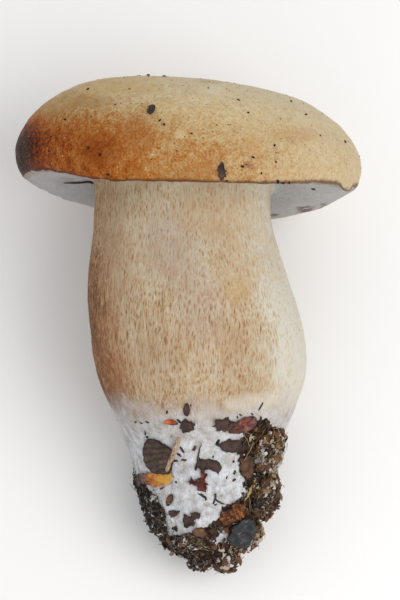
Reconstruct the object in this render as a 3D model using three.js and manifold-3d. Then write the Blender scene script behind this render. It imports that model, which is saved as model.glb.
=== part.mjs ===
// A porcini mushroom (Boletus edulis), as picked: it lies on its side on a flat surface, on the back of
// its cap and its foot, with the forest litter that clings to the foot. Millimetres, +Z up.
//
// The mushroom is drawn as it grew, in the "growing frame": x to the right, y to the back and z up from
// the tip of the foot to the crown of the cap. A nested group then lays it down, with its front upwards.
import * as THREE from 'three';
import { mergeVertices } from 'three/addons/utils/BufferGeometryUtils.js';
import Module from 'manifold-3d';

const wasm = await Module();
wasm.setup();

// ---- driving dimensions -------------------------------------------------------------------------

const LEAN_DEG = 17.7; // the stem's slope while the mushroom lies on its cap and its foot
const PRESSED = 1.1; // how far the soft cap edge and the litter give where they bear on the surface
const AROUND = 64; // facets around the flesh
const CLING_GAP = 0.35; // clearance between the flesh and what clings to it
const NEIGHBOUR_GAP = 0.35; // clearance between two pieces of litter

const RADIANS = Math.PI / 180;

// ---- the flesh: cap, tubes and stem, grown as one piece -------------------------------------------

// One level of the flesh, an ellipse with its own height on each of its four sides.
function level(facets, [left, right], [front, back], heights) {
  const [zLeft, zRight, zFront, zBack] = Array.isArray(heights) ? heights : Array(4).fill(heights);
  return {
    facets, // rings of facets between the level above and this one
    middle: [(left + right) / 2, (front + back) / 2],
    reach: [(right - left) / 2, (back - front) / 2],
    height: (zLeft + zRight) / 2,
    slopeRight: (zRight - zLeft) / 2,
    slopeFront: (zFront - zBack) / 2,
    saddle: (zFront + zBack - zLeft - zRight) / 2,
  };
}

// From the crown over the cap to its edge, in under the tubes, and down the stem to the tip of the foot.
const LEVELS = [
  level(0, [-13, -13], [0, 0], 172.8), // crown
  level(4, [-35.5, 11], [-23, 25], [171.4, 171.2, 171.2, 170.2]),
  level(3, [-48.8, 36], [-39, 41], [165.2, 165.6, 164.6, 161.4]),
  level(2, [-57, 50.4], [-47.5, 49.5], [157.4, 157.6, 155, 149]), // shoulder
  level(2, [-60.9, 59.2], [-52, 54], [148.4, 147.4, 144.4, 137.5]), // widest
  level(2, [-60, 61], [-52.7, 54.8], [142, 139.6, 137.4, 129.5]),
  level(1, [-58.2, 60], [-51.5, 53.8], [138.9, 134.4, 133.5, 124.8]), // edge, where the skin ends
  level(1, [-56.8, 57.8], [-49.6, 52], [137.8, 133.2, 133.9, 124]), // lip of the tubes
  level(2, [-47, 46.5], [-41, 43], [136.9, 132.4, 136.2, 122.8]), // belly of the tubes
  level(2, [-38, 36.5], [-33.5, 33.5], [137.4, 134, 138.6, 126.5]),
  level(1, [-32.8, 29.9], [-29, 28.2], [138.6, 136.2, 140, 131]), // tubes meet the stem
  level(1, [-32.3, 28.9], [-28.3, 27.3], [134, 132, 134, 127]),
  level(2, [-32.9, 29.2], [-28.8, 27.6], 121.5), // neck
  level(2, [-34.6, 31.4], [-30.6, 29.8], 110.5),
  level(2, [-35.8, 35.1], [-33, 32], 98.5),
  level(3, [-34.6, 39.3], [-34.6, 33.4], 84.5),
  level(3, [-32.6, 40.3], [-34, 32.6], 70.5), // bulge
  level(3, [-27.4, 36.2], [-29.8, 28.4], 56.7),
  level(3, [-21.6, 29.6], [-24.4, 23], 43),
  level(3, [-17.2, 27], [-21, 20], 29),
  level(3, [-13.4, 22.6], [-17, 16.4], 17),
  level(2, [-6.8, 16], [-11.4, 10.8], 8),
  level(2, [5.5, 5.5], [0, 0], 4), // tip of the foot
];
const EDGE_LEVEL = 6;
const STEM_LEVEL = 10;

// The gentle swellings that keep the flesh from being a perfect lathe shape, in millimetres.
function swelling(turn, height) {
  const broad = 0.55 * Math.sin(3 * turn + height / 21 + 0.4);
  const middling = 0.4 * Math.sin(5 * turn - height / 13 + 1.7);
  const narrow = 0.22 * Math.sin(9 * turn + height / 8);
  return broad + middling + narrow;
}

// The flutter of the cap's edge, strongest at the edge itself and gone a few levels away.
function flutter(turn, place) {
  const nearness = Math.exp(-(((place - EDGE_LEVEL) / 1.6) ** 2));
  return nearness * (0.7 * Math.sin(4 * turn + 0.5) + 0.45 * Math.sin(7 * turn + 2.1));
}

// A point of one level. turn runs round the stem: 0 at the front, a quarter turn at the right.
function onLevel(index, turn) {
  const across = Math.sin(turn);
  const forward = Math.cos(turn);
  const l = LEVELS[index];
  const sloped = l.slopeRight * across + l.slopeFront * forward;
  const height = l.height + sloped + l.saddle * forward ** 2;
  return new THREE.Vector3(
    l.middle[0] + l.reach[0] * across,
    l.middle[1] - l.reach[1] * forward,
    height,
  );
}

// The outline of the flesh at one turn, a smooth curve that runs on over both poles.
function outlineAt(turn) {
  const last = LEVELS.length - 1;
  const points = [onLevel(1, turn + Math.PI)];
  for (let i = 0; i <= last; i += 1) points.push(onLevel(i, turn));
  points.push(onLevel(last - 1, turn + Math.PI));
  return new THREE.CatmullRomCurve3(points, false, 'centripetal');
}

// A point of the flesh. place counts levels from the crown, 0, down to the tip of the foot.
function fleshAt(turn, place, outline = outlineAt(turn)) {
  const last = LEVELS.length - 1;
  const point = outline.getPoint((place + 1) / (last + 2));
  const fade = Math.min(1, place, last - place);
  const out = fade * swelling(turn, point.z);
  point.x += out * Math.sin(turn);
  point.y -= out * Math.cos(turn);
  point.z += flutter(turn, place);
  return point;
}

// Closed surface over a grid of rings between two poles. Each ring runs round in the sense of turn.
function shellOfRings(top, rings, bottom) {
  const count = rings[0].length;
  const points = [top, ...rings.flat(), bottom];
  const faces = [];
  const at = (ring, k) => 1 + ring * count + (k % count);
  for (let k = 0; k < count; k += 1) {
    faces.push(0, at(0, k), at(0, k + 1));
    for (let ring = 0; ring + 1 < rings.length; ring += 1) {
      faces.push(at(ring, k), at(ring + 1, k), at(ring + 1, k + 1));
      faces.push(at(ring, k), at(ring + 1, k + 1), at(ring, k + 1));
    }
    faces.push(points.length - 1, at(rings.length - 1, k + 1), at(rings.length - 1, k));
  }
  const geometry = new THREE.BufferGeometry().setFromPoints(points);
  geometry.setIndex(faces);
  return geometry;
}

// The flesh as a geometry. grow moves its surface outwards, for cutting what clings to it.
function fleshGeometry(grow = 0) {
  const places = [];
  for (let i = 1; i < LEVELS.length; i += 1) {
    const { facets } = LEVELS[i];
    for (let f = 1; f <= facets; f += 1) places.push(i - 1 + f / facets);
  }
  places.pop();
  const rings = places.map(() => []);
  for (let k = 0; k < AROUND; k += 1) {
    const turn = (k / AROUND) * 2 * Math.PI;
    const outline = outlineAt(turn);
    places.forEach((place, ring) => rings[ring].push(fleshAt(turn, place, outline)));
  }
  const top = fleshAt(0, 0);
  const bottom = fleshAt(0, LEVELS.length - 1);
  const geometry = shellOfRings(top, rings, bottom);
  if (grow > 0) {
    geometry.computeVertexNormals();
    const { position, normal } = geometry.attributes;
    for (let i = 0; i < position.count; i += 1) {
      position.setXYZ(
        i,
        position.getX(i) + grow * normal.getX(i),
        position.getY(i) + grow * normal.getY(i),
        position.getZ(i) + grow * normal.getZ(i),
      );
    }
  }
  return geometry;
}

// ---- places on the flesh -------------------------------------------------------------------------

// The level place at which the flesh has this height, at this turn, between two levels.
function placeAtHeight(turn, height, from, to) {
  const outline = outlineAt(turn);
  let [high, low] = [from, to];
  for (let step = 0; step < 24; step += 1) {
    const middle = (high + low) / 2;
    if (fleshAt(turn, middle, outline).z > height) high = middle;
    else low = middle;
  }
  return (high + low) / 2;
}

// A small patch of the flesh around a turn and a height, as a map from millimetres to surface points:
// a runs round the flesh, b up along it and lift out from it. Under the cap, where a height is not
// enough to tell, the second number is a place.
function patchAt(turnDeg, heightOrPlace, side = 'stem') {
  const turn = turnDeg * RADIANS;
  const place = {
    cap: () => placeAtHeight(turn, heightOrPlace, 0, EDGE_LEVEL),
    tubes: () => heightOrPlace,
    stem: () => placeAtHeight(turn, heightOrPlace, STEM_LEVEL, LEVELS.length - 1),
  }[side]();
  const small = 0.02;
  const perUnit = (one, other) => one.distanceTo(other) / (2 * small);
  const turnSize = perUnit(fleshAt(turn - small, place), fleshAt(turn + small, place));
  const placeSize = perUnit(fleshAt(turn, place - small), fleshAt(turn, place + small));
  return (a, b, lift) => {
    const t = turn + a / turnSize;
    const p = THREE.MathUtils.clamp(place - b / placeSize, 0.05, LEVELS.length - 1.05);
    const point = fleshAt(t, p);
    const round = fleshAt(t + small, p).sub(fleshAt(t - small, p));
    const down = fleshAt(t, p + small).sub(fleshAt(t, p - small));
    const out = new THREE.Vector3().crossVectors(down, round).normalize();
    return point.addScaledVector(out, lift);
  };
}

// ---- solids and geometries ------------------------------------------------------------------------

function toSolid(geometry) {
  const bare = new THREE.BufferGeometry();
  bare.setAttribute('position', geometry.getAttribute('position'));
  bare.setIndex(geometry.getIndex());
  const merged = mergeVertices(bare, 1e-4);
  return new wasm.Manifold(
    new wasm.Mesh({
      numProp: 3,
      vertProperties: new Float32Array(merged.attributes.position.array),
      triVerts: new Uint32Array(merged.index.array),
    }),
  );
}

function toGeometry(solid) {
  const mesh = solid.getMesh();
  const geometry = new THREE.BufferGeometry();
  geometry.setAttribute('position', new THREE.BufferAttribute(mesh.vertProperties, 3));
  geometry.setIndex(new THREE.BufferAttribute(mesh.triVerts, 1));
  return geometry;
}

// Cuts the neighbours' envelopes from a solid and keeps its largest body.
function clearOf(solid, envelopes) {
  let left = solid;
  for (const envelope of envelopes) left = left.subtract(envelope);
  const bodies = left.decompose();
  return bodies.reduce((best, body) => (body.volume() > best.volume() ? body : best));
}

// ---- litter ---------------------------------------------------------------------------------------

// The outline of a scrap at an angle: power 1 is a diamond, 2 an oval and 4 nearly a rectangle.
function scrapRadius(scrap, angle, grow) {
  const { width, length, power = 2, ragged = 0.08, seed = 1 } = scrap;
  const across = Math.abs(Math.cos(angle)) / (width / 2 + grow);
  const along = Math.abs(Math.sin(angle)) / (length / 2 + grow);
  const even = (across ** power + along ** power) ** (-1 / power);
  const bays = Math.sin(3 * angle + seed) + Math.sin(5 * angle + 2.3 * seed);
  const uneven = bays + Math.sin(8 * angle + 4.1 * seed);
  return even * (1 + (ragged * uneven) / 2);
}

// A scrap or a cake of soil that lies on the flesh: two draped faces and the rim between them.
// With an envelope, it is the space that other pieces of litter keep clear of.
function drapedGeometry(scrap, envelope = 0) {
  const { turn, height, tilt = 0, thick, side, lumps = 0, seed = 1, corners = 10, rows = 2 } = scrap;
  const patch = patchAt(turn, height, side);
  const lean = tilt * RADIANS;
  const rings = [];
  const face = (ring, k, upper) => {
    const angle = (k / corners) * 2 * Math.PI;
    const share = ring / rows;
    const r = share * scrapRadius(scrap, angle, envelope);
    const [a, b] = [r * Math.cos(angle), r * Math.sin(angle)];
    const lump = Math.sin(a * 0.9 + seed) * Math.sin(b * 0.8 + 2 * seed);
    const bump = lumps * (lump + 0.4 * Math.sin(1.9 * a - b + seed));
    const dome = lumps > 0 ? 0.35 + 0.65 * Math.sqrt(1 - share ** 4) : 1;
    const top = CLING_GAP + Math.max(0.4, thick * dome + bump * (1 - share ** 2)) + envelope;
    const under = envelope > 0 ? 0 : CLING_GAP;
    const u = a * Math.cos(lean) + b * Math.sin(lean);
    const v = b * Math.cos(lean) - a * Math.sin(lean);
    return patch(u, v, upper ? top : under);
  };
  const ringOf = (ring, upper) => Array.from({ length: corners }, (_, k) => face(ring, k, upper));
  for (let ring = 1; ring <= rows; ring += 1) rings.push(ringOf(ring, true));
  for (let ring = rows; ring >= 1; ring -= 1) rings.push(ringOf(ring, false));
  return shellOfRings(face(0, 0, true), rings, face(0, 0, false));
}

// A needle, straw or rootlet: a thin stalk along waypoints on the flesh, each a turn and a height.
function stalkGeometry({ along, wide, side }, envelope = 0) {
  const radius = wide / 2 + envelope;
  const sides = 6;
  const lift = CLING_GAP + wide / 2 + 0.25;
  const points = along.map(([turn, height]) => patchAt(turn, height, side)(0, 0, lift));
  const path = new THREE.CatmullRomCurve3(points, false, 'centripetal');
  const section = new THREE.Shape();
  for (let k = 0; k < sides; k += 1) {
    const angle = (k / sides) * 2 * Math.PI;
    const [u, v] = [radius * Math.cos(angle), radius * Math.sin(angle)];
    if (k === 0) section.moveTo(u, v);
    else section.lineTo(u, v);
  }
  section.closePath();
  return new THREE.ExtrudeGeometry(section, {
    steps: Math.max(4, Math.round(path.getLength() / 1.6)),
    curveSegments: 1,
    bevelEnabled: false,
    extrudePath: path,
  });
}

// A lumpy ball, for a clod or a bit of grit, sunk into the flesh and cut back to it afterwards.
function clodGeometry({ at, size, seed = 1 }) {
  const ball = new THREE.SphereGeometry(1, 14, 9);
  const { position } = ball.attributes;
  const p = new THREE.Vector3();
  for (let i = 0; i < position.count; i += 1) {
    p.fromBufferAttribute(position, i);
    const lump = 0.1 * Math.sin(4 * p.x + seed) * Math.sin(3 * p.y + 2 * seed);
    const swell = 1 + lump + 0.07 * Math.sin(5 * p.z + 3 * seed);
    position.setXYZ(
      i,
      at[0] + size[0] * p.x * swell,
      at[1] + size[1] * p.y * swell,
      at[2] + size[2] * p.z * swell,
    );
  }
  return ball;
}

const COLOURS = {
  flesh: 0xc9ad84,
  bark: 0x3a2c25,
  rust: 0x7a3216,
  amber: 0xb5671c,
  straw: 0xb89a6c,
  leaf: 0x4d382c,
  humus: 0x4a3f36,
  slate: 0x44464a,
};

// Scraps of leaf and bark: width runs round the flesh, length up along it, before the tilt.
const SCRAPS = [
  {
    name: 'bark_flake_left', turn: -36.6, height: 41.8, width: 10.5, length: 12.5, tilt: 14,
    thick: 1.3, power: 2.3, ragged: 0.05, corners: 14, seed: 2, kind: 'bark',
  },
  {
    name: 'amber_bud_scale', turn: -44, height: 33, width: 15, length: 4, tilt: 2, thick: 1,
    power: 3, ragged: 0.06, corners: 14, seed: 5, kind: 'amber',
  },
  {
    name: 'dark_bud_scale_upper', turn: -9.5, height: 58.2, width: 2.2, length: 4.8, tilt: 3,
    thick: 0.8, power: 1.5, seed: 3, kind: 'leaf',
  },
  {
    name: 'leaf_scrap_upper', turn: -10, height: 52.6, width: 4.6, length: 4.6, tilt: 20,
    thick: 0.8, power: 2.6, ragged: 0.12, seed: 7, kind: 'leaf',
  },
  {
    name: 'orange_bud_scale', turn: -19.6, height: 53.8, width: 4.8, length: 2, tilt: 8, thick: 0.7,
    power: 1.6, seed: 4, kind: 'amber',
  },
  {
    name: 'leaf_scrap_upper_right', turn: 11.6, height: 53, width: 4.2, length: 4.6, tilt: 10,
    thick: 0.8, power: 2.8, ragged: 0.14, seed: 9, kind: 'leaf',
  },
  {
    name: 'rust_leaf', turn: 26.5, height: 52.6, width: 10.2, length: 4.2, tilt: -22, thick: 1,
    power: 2.4, ragged: 0.07, corners: 12, seed: 6, kind: 'rust',
  },
  {
    name: 'leaf_point', turn: 18, height: 45.5, width: 7.2, length: 3.8, tilt: 3, thick: 0.8,
    power: 1.25, seed: 8, kind: 'leaf',
  },
  {
    name: 'brown_leaf_scrap', turn: 39, height: 37.9, width: 8.6, length: 6.6, tilt: 28, thick: 0.9,
    power: 1.7, ragged: 0.08, corners: 12, seed: 10, kind: 'leaf',
  },
  {
    name: 'notched_leaf', turn: 8.2, height: 38.3, width: 7.6, length: 3.6, tilt: 14, thick: 0.8,
    power: 2, ragged: 0.14, corners: 12, seed: 11, kind: 'leaf',
  },
  {
    name: 'curled_red_leaf', turn: -4, height: 33, width: 5.6, length: 4.6, tilt: -12, thick: 0.9,
    power: 2, ragged: 0.16, corners: 12, seed: 12, kind: 'rust',
  },
  {
    name: 'brown_scale_left', turn: -33, height: 26.6, width: 2.6, length: 5.4, tilt: 34,
    thick: 0.8, power: 1.6, seed: 13, kind: 'leaf',
  },
  {
    name: 'leaf_stub_left', turn: -31, height: 21.8, width: 4.4, length: 2.4, tilt: -12, thick: 0.8,
    power: 2, ragged: 0.14, seed: 14, kind: 'leaf',
  },
  {
    name: 'bud_scales', turn: -13.5, height: 20.4, width: 7, length: 3.4, tilt: -30, thick: 0.9,
    power: 1.3, ragged: 0.1, corners: 12, seed: 15, kind: 'leaf',
  },
  {
    name: 'slate_chip', turn: 50, height: 15.4, width: 9, length: 9, tilt: 30, thick: 1.5,
    power: 2.5, ragged: 0.05, corners: 14, seed: 16, kind: 'slate',
  },
  {
    name: 'rotten_wood_chip', turn: 30, height: 22.8, width: 8.2, length: 5, tilt: -24, thick: 1.6,
    power: 2.4, ragged: 0.12, corners: 12, lumps: 0.3, seed: 17, kind: 'rust',
  },
  {
    name: 'brown_bud', turn: -3, height: 15.4, width: 4, length: 3.4, tilt: 0, thick: 1.8, power: 2,
    ragged: 0.05, lumps: 0.2, seed: 18, kind: 'amber',
  },
  {
    name: 'cap_leaf_scrap', turn: 9.8, height: 137.6, width: 2.6, length: 5.8, tilt: -4, thick: 0.7,
    power: 2.4, ragged: 0.2, seed: 19, side: 'cap', kind: 'slate',
  },
  {
    name: 'cap_bark_scrap', turn: -9.4, height: 158.6, width: 2.6, length: 3.8, tilt: 14,
    thick: 0.7, power: 2.2, ragged: 0.1, corners: 8, seed: 20, side: 'cap', kind: 'leaf',
  },
];

// Needles, straws and rootlets, as waypoints of turn and height, or turn and place under the cap.
const STALKS = [
  {
    name: 'straw_left', along: [[-13.4, 48], [-19.6, 43.3], [-26, 36.6]], wide: 1.5, kind: 'straw',
  },
  {
    name: 'rootlet_middle', along: [[0.5, 46.4], [-2.9, 43], [-3.4, 40], [-6, 37]], wide: 0.7,
    kind: 'bark',
  },
  { name: 'rootlet_hook', along: [[9, 28.8], [12.5, 26.2], [19.5, 25.4]], wide: 0.8, kind: 'bark' },
  { name: 'grass_stalk', along: [[51, 33.6], [45.5, 29.6], [41, 26]], wide: 1.1, kind: 'straw' },
  {
    name: 'needle_under_cap', along: [[-93, 8.1], [-96, 8.7], [-98, 9.4]], wide: 0.9, side: 'tubes',
    kind: 'bark',
  },
];

// Cakes of soil matted with threads, around the foot.
const CAKES = [
  {
    name: 'soil_left', turn: -64, height: 20.5, width: 15, length: 18, tilt: -6, thick: 1.4,
    lumps: 0.35, seed: 31,
  },
  {
    name: 'soil_front', turn: -30, height: 11.4, width: 17, length: 7, tilt: -10, thick: 1.9,
    lumps: 0.4, seed: 32,
  },
  {
    name: 'soil_right_upper', turn: 66, height: 43, width: 18, length: 16, tilt: 8, thick: 3.2,
    lumps: 0.7, seed: 33,
  },
  {
    name: 'soil_right_middle', turn: 78, height: 27, width: 15, length: 15, tilt: 4, thick: 4,
    lumps: 0.8, seed: 34,
  },
  {
    name: 'soil_right_low', turn: 66, height: 13.4, width: 14, length: 10, tilt: 0, thick: 3.8,
    lumps: 0.8, seed: 38,
  },
  {
    name: 'soil_right_back', turn: 122, height: 32, width: 16, length: 24, tilt: 0, thick: 2.8,
    lumps: 0.7, seed: 35,
  },
  {
    name: 'soil_back', turn: 178, height: 23, width: 22, length: 20, tilt: 0, thick: 3, lumps: 0.3,
    seed: 36,
  },
  {
    name: 'soil_back_left', turn: -122, height: 26, width: 17, length: 22, tilt: 0, thick: 2.4,
    lumps: 0.6, seed: 37,
  },
].map((cake) => ({ power: 2.6, ragged: 0.1, corners: 16, rows: 3, kind: 'humus', ...cake }));

// Clods under the tip of the foot.
const CLODS = [
  { name: 'clod_tip_left', at: [3.4, -1.6, 4.8], size: [4.6, 6.6, 4.2], seed: 41, kind: 'humus' },
  { name: 'clod_tip_right', at: [12, -1, 5.4], size: [4.8, 7.2, 5.1], seed: 42, kind: 'slate' },
];

// ---- assembly -------------------------------------------------------------------------------------

const growing = new THREE.Group(); // the mushroom as it grew
const lying = new THREE.Group(); // the same, laid down on its back
lying.rotation.x = (LEAN_DEG - 90) * RADIANS;
lying.add(growing);

function addPiece(name, kind, geometry, roughness = 0.8) {
  const material = new THREE.MeshStandardMaterial({ color: COLOURS[kind], roughness, metalness: 0 });
  const piece = new THREE.Mesh(geometry, material);
  piece.name = name;
  growing.add(piece);
  return piece;
}

addPiece('mushroom', 'flesh', fleshGeometry(), 0.7);

const grownFlesh = toSolid(fleshGeometry(CLING_GAP));
const envelopes = [];
for (const scrap of SCRAPS) {
  addPiece(scrap.name, scrap.kind, drapedGeometry(scrap));
  envelopes.push(toSolid(drapedGeometry(scrap, NEIGHBOUR_GAP)));
}
for (const stalk of STALKS) {
  addPiece(stalk.name, stalk.kind, stalkGeometry(stalk));
  envelopes.push(toSolid(stalkGeometry(stalk, NEIGHBOUR_GAP)));
}
for (const cake of CAKES) {
  addPiece(cake.name, cake.kind, toGeometry(clearOf(toSolid(drapedGeometry(cake)), envelopes)), 0.95);
  envelopes.push(toSolid(drapedGeometry(cake, NEIGHBOUR_GAP)));
}
for (const clod of CLODS) {
  const solid = clearOf(toSolid(clodGeometry(clod)), [grownFlesh, ...envelopes]);
  addPiece(clod.name, clod.kind, toGeometry(solid), 0.95);
  const grown = { ...clod, size: clod.size.map((reach) => reach + NEIGHBOUR_GAP) };
  envelopes.push(toSolid(clodGeometry(grown)));
}

// Presses whatever is below the surface it lies on up to that surface, and centres the mushroom over
// the origin.
lying.updateMatrixWorld(true);
const box = new THREE.Box3().setFromObject(lying, true);
const surface = box.min.z + PRESSED;
const worldPoint = new THREE.Vector3();
for (const piece of growing.children) {
  const { position } = piece.geometry.attributes;
  const back = piece.matrixWorld.clone().invert();
  for (let i = 0; i < position.count; i += 1) {
    worldPoint.fromBufferAttribute(position, i).applyMatrix4(piece.matrixWorld);
    worldPoint.z = Math.max(worldPoint.z, surface);
    worldPoint.applyMatrix4(back);
    position.setXYZ(i, worldPoint.x, worldPoint.y, worldPoint.z);
  }
}
lying.position.set(-(box.min.x + box.max.x) / 2, -(box.min.y + box.max.y) / 2, -surface);

const porcini = new THREE.Group();
porcini.add(lying);

export default porcini;
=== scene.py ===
import math

import bmesh
import bpy
import numpy as np
from mathutils import Matrix, Vector
from mathutils.bvhtree import BVHTree


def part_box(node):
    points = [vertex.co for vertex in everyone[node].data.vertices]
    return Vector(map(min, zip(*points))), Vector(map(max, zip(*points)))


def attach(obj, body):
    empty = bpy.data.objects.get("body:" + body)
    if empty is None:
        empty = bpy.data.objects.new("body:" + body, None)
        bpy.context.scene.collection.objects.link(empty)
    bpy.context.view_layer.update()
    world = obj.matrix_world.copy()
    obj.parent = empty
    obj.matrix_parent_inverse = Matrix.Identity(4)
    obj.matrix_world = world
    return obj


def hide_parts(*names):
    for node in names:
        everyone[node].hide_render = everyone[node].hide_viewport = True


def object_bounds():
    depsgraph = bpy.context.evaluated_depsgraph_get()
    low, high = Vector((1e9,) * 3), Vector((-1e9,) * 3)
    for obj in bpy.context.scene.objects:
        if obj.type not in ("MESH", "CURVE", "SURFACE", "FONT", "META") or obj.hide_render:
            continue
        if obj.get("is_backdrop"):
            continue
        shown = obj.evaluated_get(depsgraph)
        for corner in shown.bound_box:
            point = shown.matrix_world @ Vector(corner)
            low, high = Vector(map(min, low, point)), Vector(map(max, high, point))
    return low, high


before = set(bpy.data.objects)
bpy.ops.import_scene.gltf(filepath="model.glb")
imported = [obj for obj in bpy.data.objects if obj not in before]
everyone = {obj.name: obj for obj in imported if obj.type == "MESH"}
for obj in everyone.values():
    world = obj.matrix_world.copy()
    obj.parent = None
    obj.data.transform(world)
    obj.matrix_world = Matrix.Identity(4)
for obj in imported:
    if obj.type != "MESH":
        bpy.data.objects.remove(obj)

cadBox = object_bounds()
mm = 0.001
perMm = (1000, 1000, 1000)    # metres into millimetres

# The mushroom lies down. "Grown" coordinates are those it had while it grew, in millimetres:
# x to the right, y to the back and z up the stem, from the tip of the foot.
pose = {
    "lean": 17.7,                                # slope of the stem, in degrees
    "footTip": (0.000469, -0.084549, 0.012562),  # where the tip of the foot lies
}
grownToLying = (Matrix.Translation(pose["footTip"])
                @ Matrix.Rotation(math.radians(pose["lean"] - 90), 4, "X")
                @ Matrix.Scale(mm, 4))
lyingToGrown = grownToLying.inverted()


def lying(x, y, z):
    return grownToLying @ Vector((x, y, z))


def direction(x, y, z):    # a grown direction, as it lies
    return lying(x, y, z) - lying(0, 0, 0)


def toGrown(points):
    turned = np.array(lyingToGrown)
    return points @ turned[:3, :3].T + turned[:3, 3]


# One output of a node, in a material or in a geometry group, that does maths as a plain value does.
class Wire:
    def __init__(self, tree, socket):
        self.tree, self.socket = tree, socket

    def maths(self, operation, first, second=0.0, clamp=False):
        return node(self.tree, "ShaderNodeMath", {"operation": operation, "use_clamp": clamp},
                    {0: first, 1: second})

    def __add__(self, other): return self.maths("ADD", self, other)
    def __radd__(self, other): return self.maths("ADD", other, self)
    def __sub__(self, other): return self.maths("SUBTRACT", self, other)
    def __rsub__(self, other): return self.maths("SUBTRACT", other, self)
    def __mul__(self, other): return self.maths("MULTIPLY", self, other)
    def __rmul__(self, other): return self.maths("MULTIPLY", other, self)
    def __truediv__(self, other): return self.maths("DIVIDE", self, other)

    def inside(self): return self.maths("ADD", self, 0.0, clamp=True)    # kept between 0 and 1
    def most(self, other): return self.maths("MAXIMUM", self, other)
    def size(self): return self.maths("ABSOLUTE", self)

    # 0 below low, 1 above high and a soft step between them; low may be the larger
    def step(self, low, high):
        return node(self.tree, "ShaderNodeMapRange", {"interpolation_type": "SMOOTHSTEP"},
                    {"Value": self, "From Min": low, "From Max": high})


# Adds any node: its settings are set first, then values and links go to its inputs.
def node(tree, kind, settings=None, inputs=None, output=0):
    made = tree.nodes.new(kind)
    for name, value in (settings or {}).items():
        if name == "stops":
            for spare in list(made.color_ramp.elements)[1:]:
                made.color_ramp.elements.remove(spare)
            for i, (at, colour) in enumerate(value):
                stop = made.color_ramp.elements[0] if i == 0 else made.color_ramp.elements.new(at)
                stop.position, stop.color = at, colour
        else:
            setattr(made, name, value)
    for name, value in (inputs or {}).items():
        socket = made.inputs[name]
        if isinstance(value, Wire):
            tree.links.new(value.socket, socket)
        else:
            socket.default_value = value
    return Wire(tree, made.outputs[output])


# A colour as a painter picks it, 0 to 255, turned into the light values that a shader takes.
def paint(red, green, blue):
    return tuple((c / 255 / 12.92 if c <= 10 else ((c / 255 + 0.055) / 1.055) ** 2.4)
                 for c in (red, green, blue)) + (1.0,)


def mixed(tree, share, first, second, way="MIX"):
    return node(tree, "ShaderNodeMix", {"data_type": "RGBA", "blend_type": way, "clamp_factor": True},
                {0: share, 6: first, 7: second}, output=2)


def ramp(tree, share, stops):    # stops are places from 0 to 1, each with its painter's colour
    painted = [(at, paint(*colour)) for at, colour in stops]
    return node(tree, "ShaderNodeValToRGB", {"stops": painted}, {0: share})


def vectorMaths(tree, operation, first, second):
    return node(tree, "ShaderNodeVectorMath", {"operation": operation},
                {0: first, (3 if operation == "SCALE" else 1): second})


def scaled(tree, vector, x, y, z):
    return vectorMaths(tree, "MULTIPLY", vector, (x, y, z))


def shifted(tree, vector, x, y, z):
    return vectorMaths(tree, "ADD", vector, (x, y, z))


def cloud(tree, vector, size, detail=3.0, rough=0.55):    # size of the blotches, in the vector's unit
    return node(tree, "ShaderNodeTexNoise", None,
                {"Vector": vector, "Scale": 1 / size, "Detail": detail, "Roughness": rough})


def cells(tree, vector, size, feature="F1", output=0, random=1.0):
    return node(tree, "ShaderNodeTexVoronoi", {"feature": feature},
                {"Vector": vector, "Scale": 1 / size, "Randomness": random}, output)


def split(tree, vector):
    parts = node(tree, "ShaderNodeSeparateXYZ", None, {0: vector})
    return [Wire(tree, socket) for socket in parts.socket.node.outputs]


def warped(tree, vector, size, reach):    # bends a pattern by up to reach
    swirl = node(tree, "ShaderNodeTexNoise", None,
                 {"Vector": vector, "Scale": 1 / size, "Detail": 2.0}, output=1)
    centred = vectorMaths(tree, "SUBTRACT", swirl, (0.5, 0.5, 0.5))
    return vectorMaths(tree, "ADD", vector, vectorMaths(tree, "SCALE", centred, 2 * reach))


def newMaterial(name):
    material = bpy.data.materials.new(name)
    material.use_nodes = True
    tree = material.node_tree
    shader = tree.nodes["Principled BSDF"]
    return material, tree, shader


def wear(shader, socket, value):    # what varies is linked, what is the same all over is set
    if isinstance(value, Wire):
        value.tree.links.new(value.socket, shader.inputs[socket])
    else:
        shader.inputs[socket].default_value = value


def bumped(tree, height, deep):    # height 0 to 1 becomes deep metres
    return node(tree, "ShaderNodeBump", None, {"Height": height, "Distance": deep, "Strength": 1.0})


def attribute(tree, name, output="Vector"):
    made = tree.nodes.new("ShaderNodeAttribute")
    made.attribute_name = name
    return Wire(tree, made.outputs[output])


def onlySelect(*objects):
    bpy.ops.object.select_all(action="DESELECT")
    for o in objects:
        o.select_set(True)
    bpy.context.view_layer.objects.active = objects[0]


def editing(select="SELECT"):
    bpy.ops.object.mode_set(mode="EDIT")
    bpy.ops.mesh.select_all(action=select)


def doneEditing():
    bpy.ops.object.mode_set(mode="OBJECT")


def modify(o, kind, **settings):
    onlySelect(o)
    modifier = o.modifiers.new(kind.lower(), kind)
    for name, value in settings.items():
        setattr(modifier, name, value)
    bpy.ops.object.modifier_apply(modifier=modifier.name)


def copyOf(cadNode, name):    # a merged copy of a CAD node, of quads where it can be
    onlySelect(everyone[cadNode])
    bpy.ops.object.duplicate()
    made = bpy.context.active_object
    made.name = made.data.name = name
    made.data.materials.clear()
    editing()
    bpy.ops.mesh.remove_doubles(threshold=2e-6)
    bpy.ops.mesh.tris_convert_to_quads(face_threshold=math.radians(70), shape_threshold=math.radians(70))
    doneEditing()
    return made


def pointsOf(mesh):
    flat = np.empty(len(mesh.vertices) * 3)
    mesh.vertices.foreach_get("co", flat)
    return flat.reshape(-1, 3)


def placePoints(mesh, points):
    mesh.vertices.foreach_set("co", np.asarray(points, dtype=float).ravel())
    mesh.update()


def edgeEnds(mesh):
    ends = np.empty(len(mesh.edges) * 2, dtype=int)
    mesh.edges.foreach_get("vertices", ends)
    return ends.reshape(-1, 2)


def keepVector(mesh, name, values):
    kept = mesh.attributes.new(name, "FLOAT_VECTOR", "POINT")
    kept.data.foreach_set("vector", np.asarray(values, dtype=float).ravel())


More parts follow.
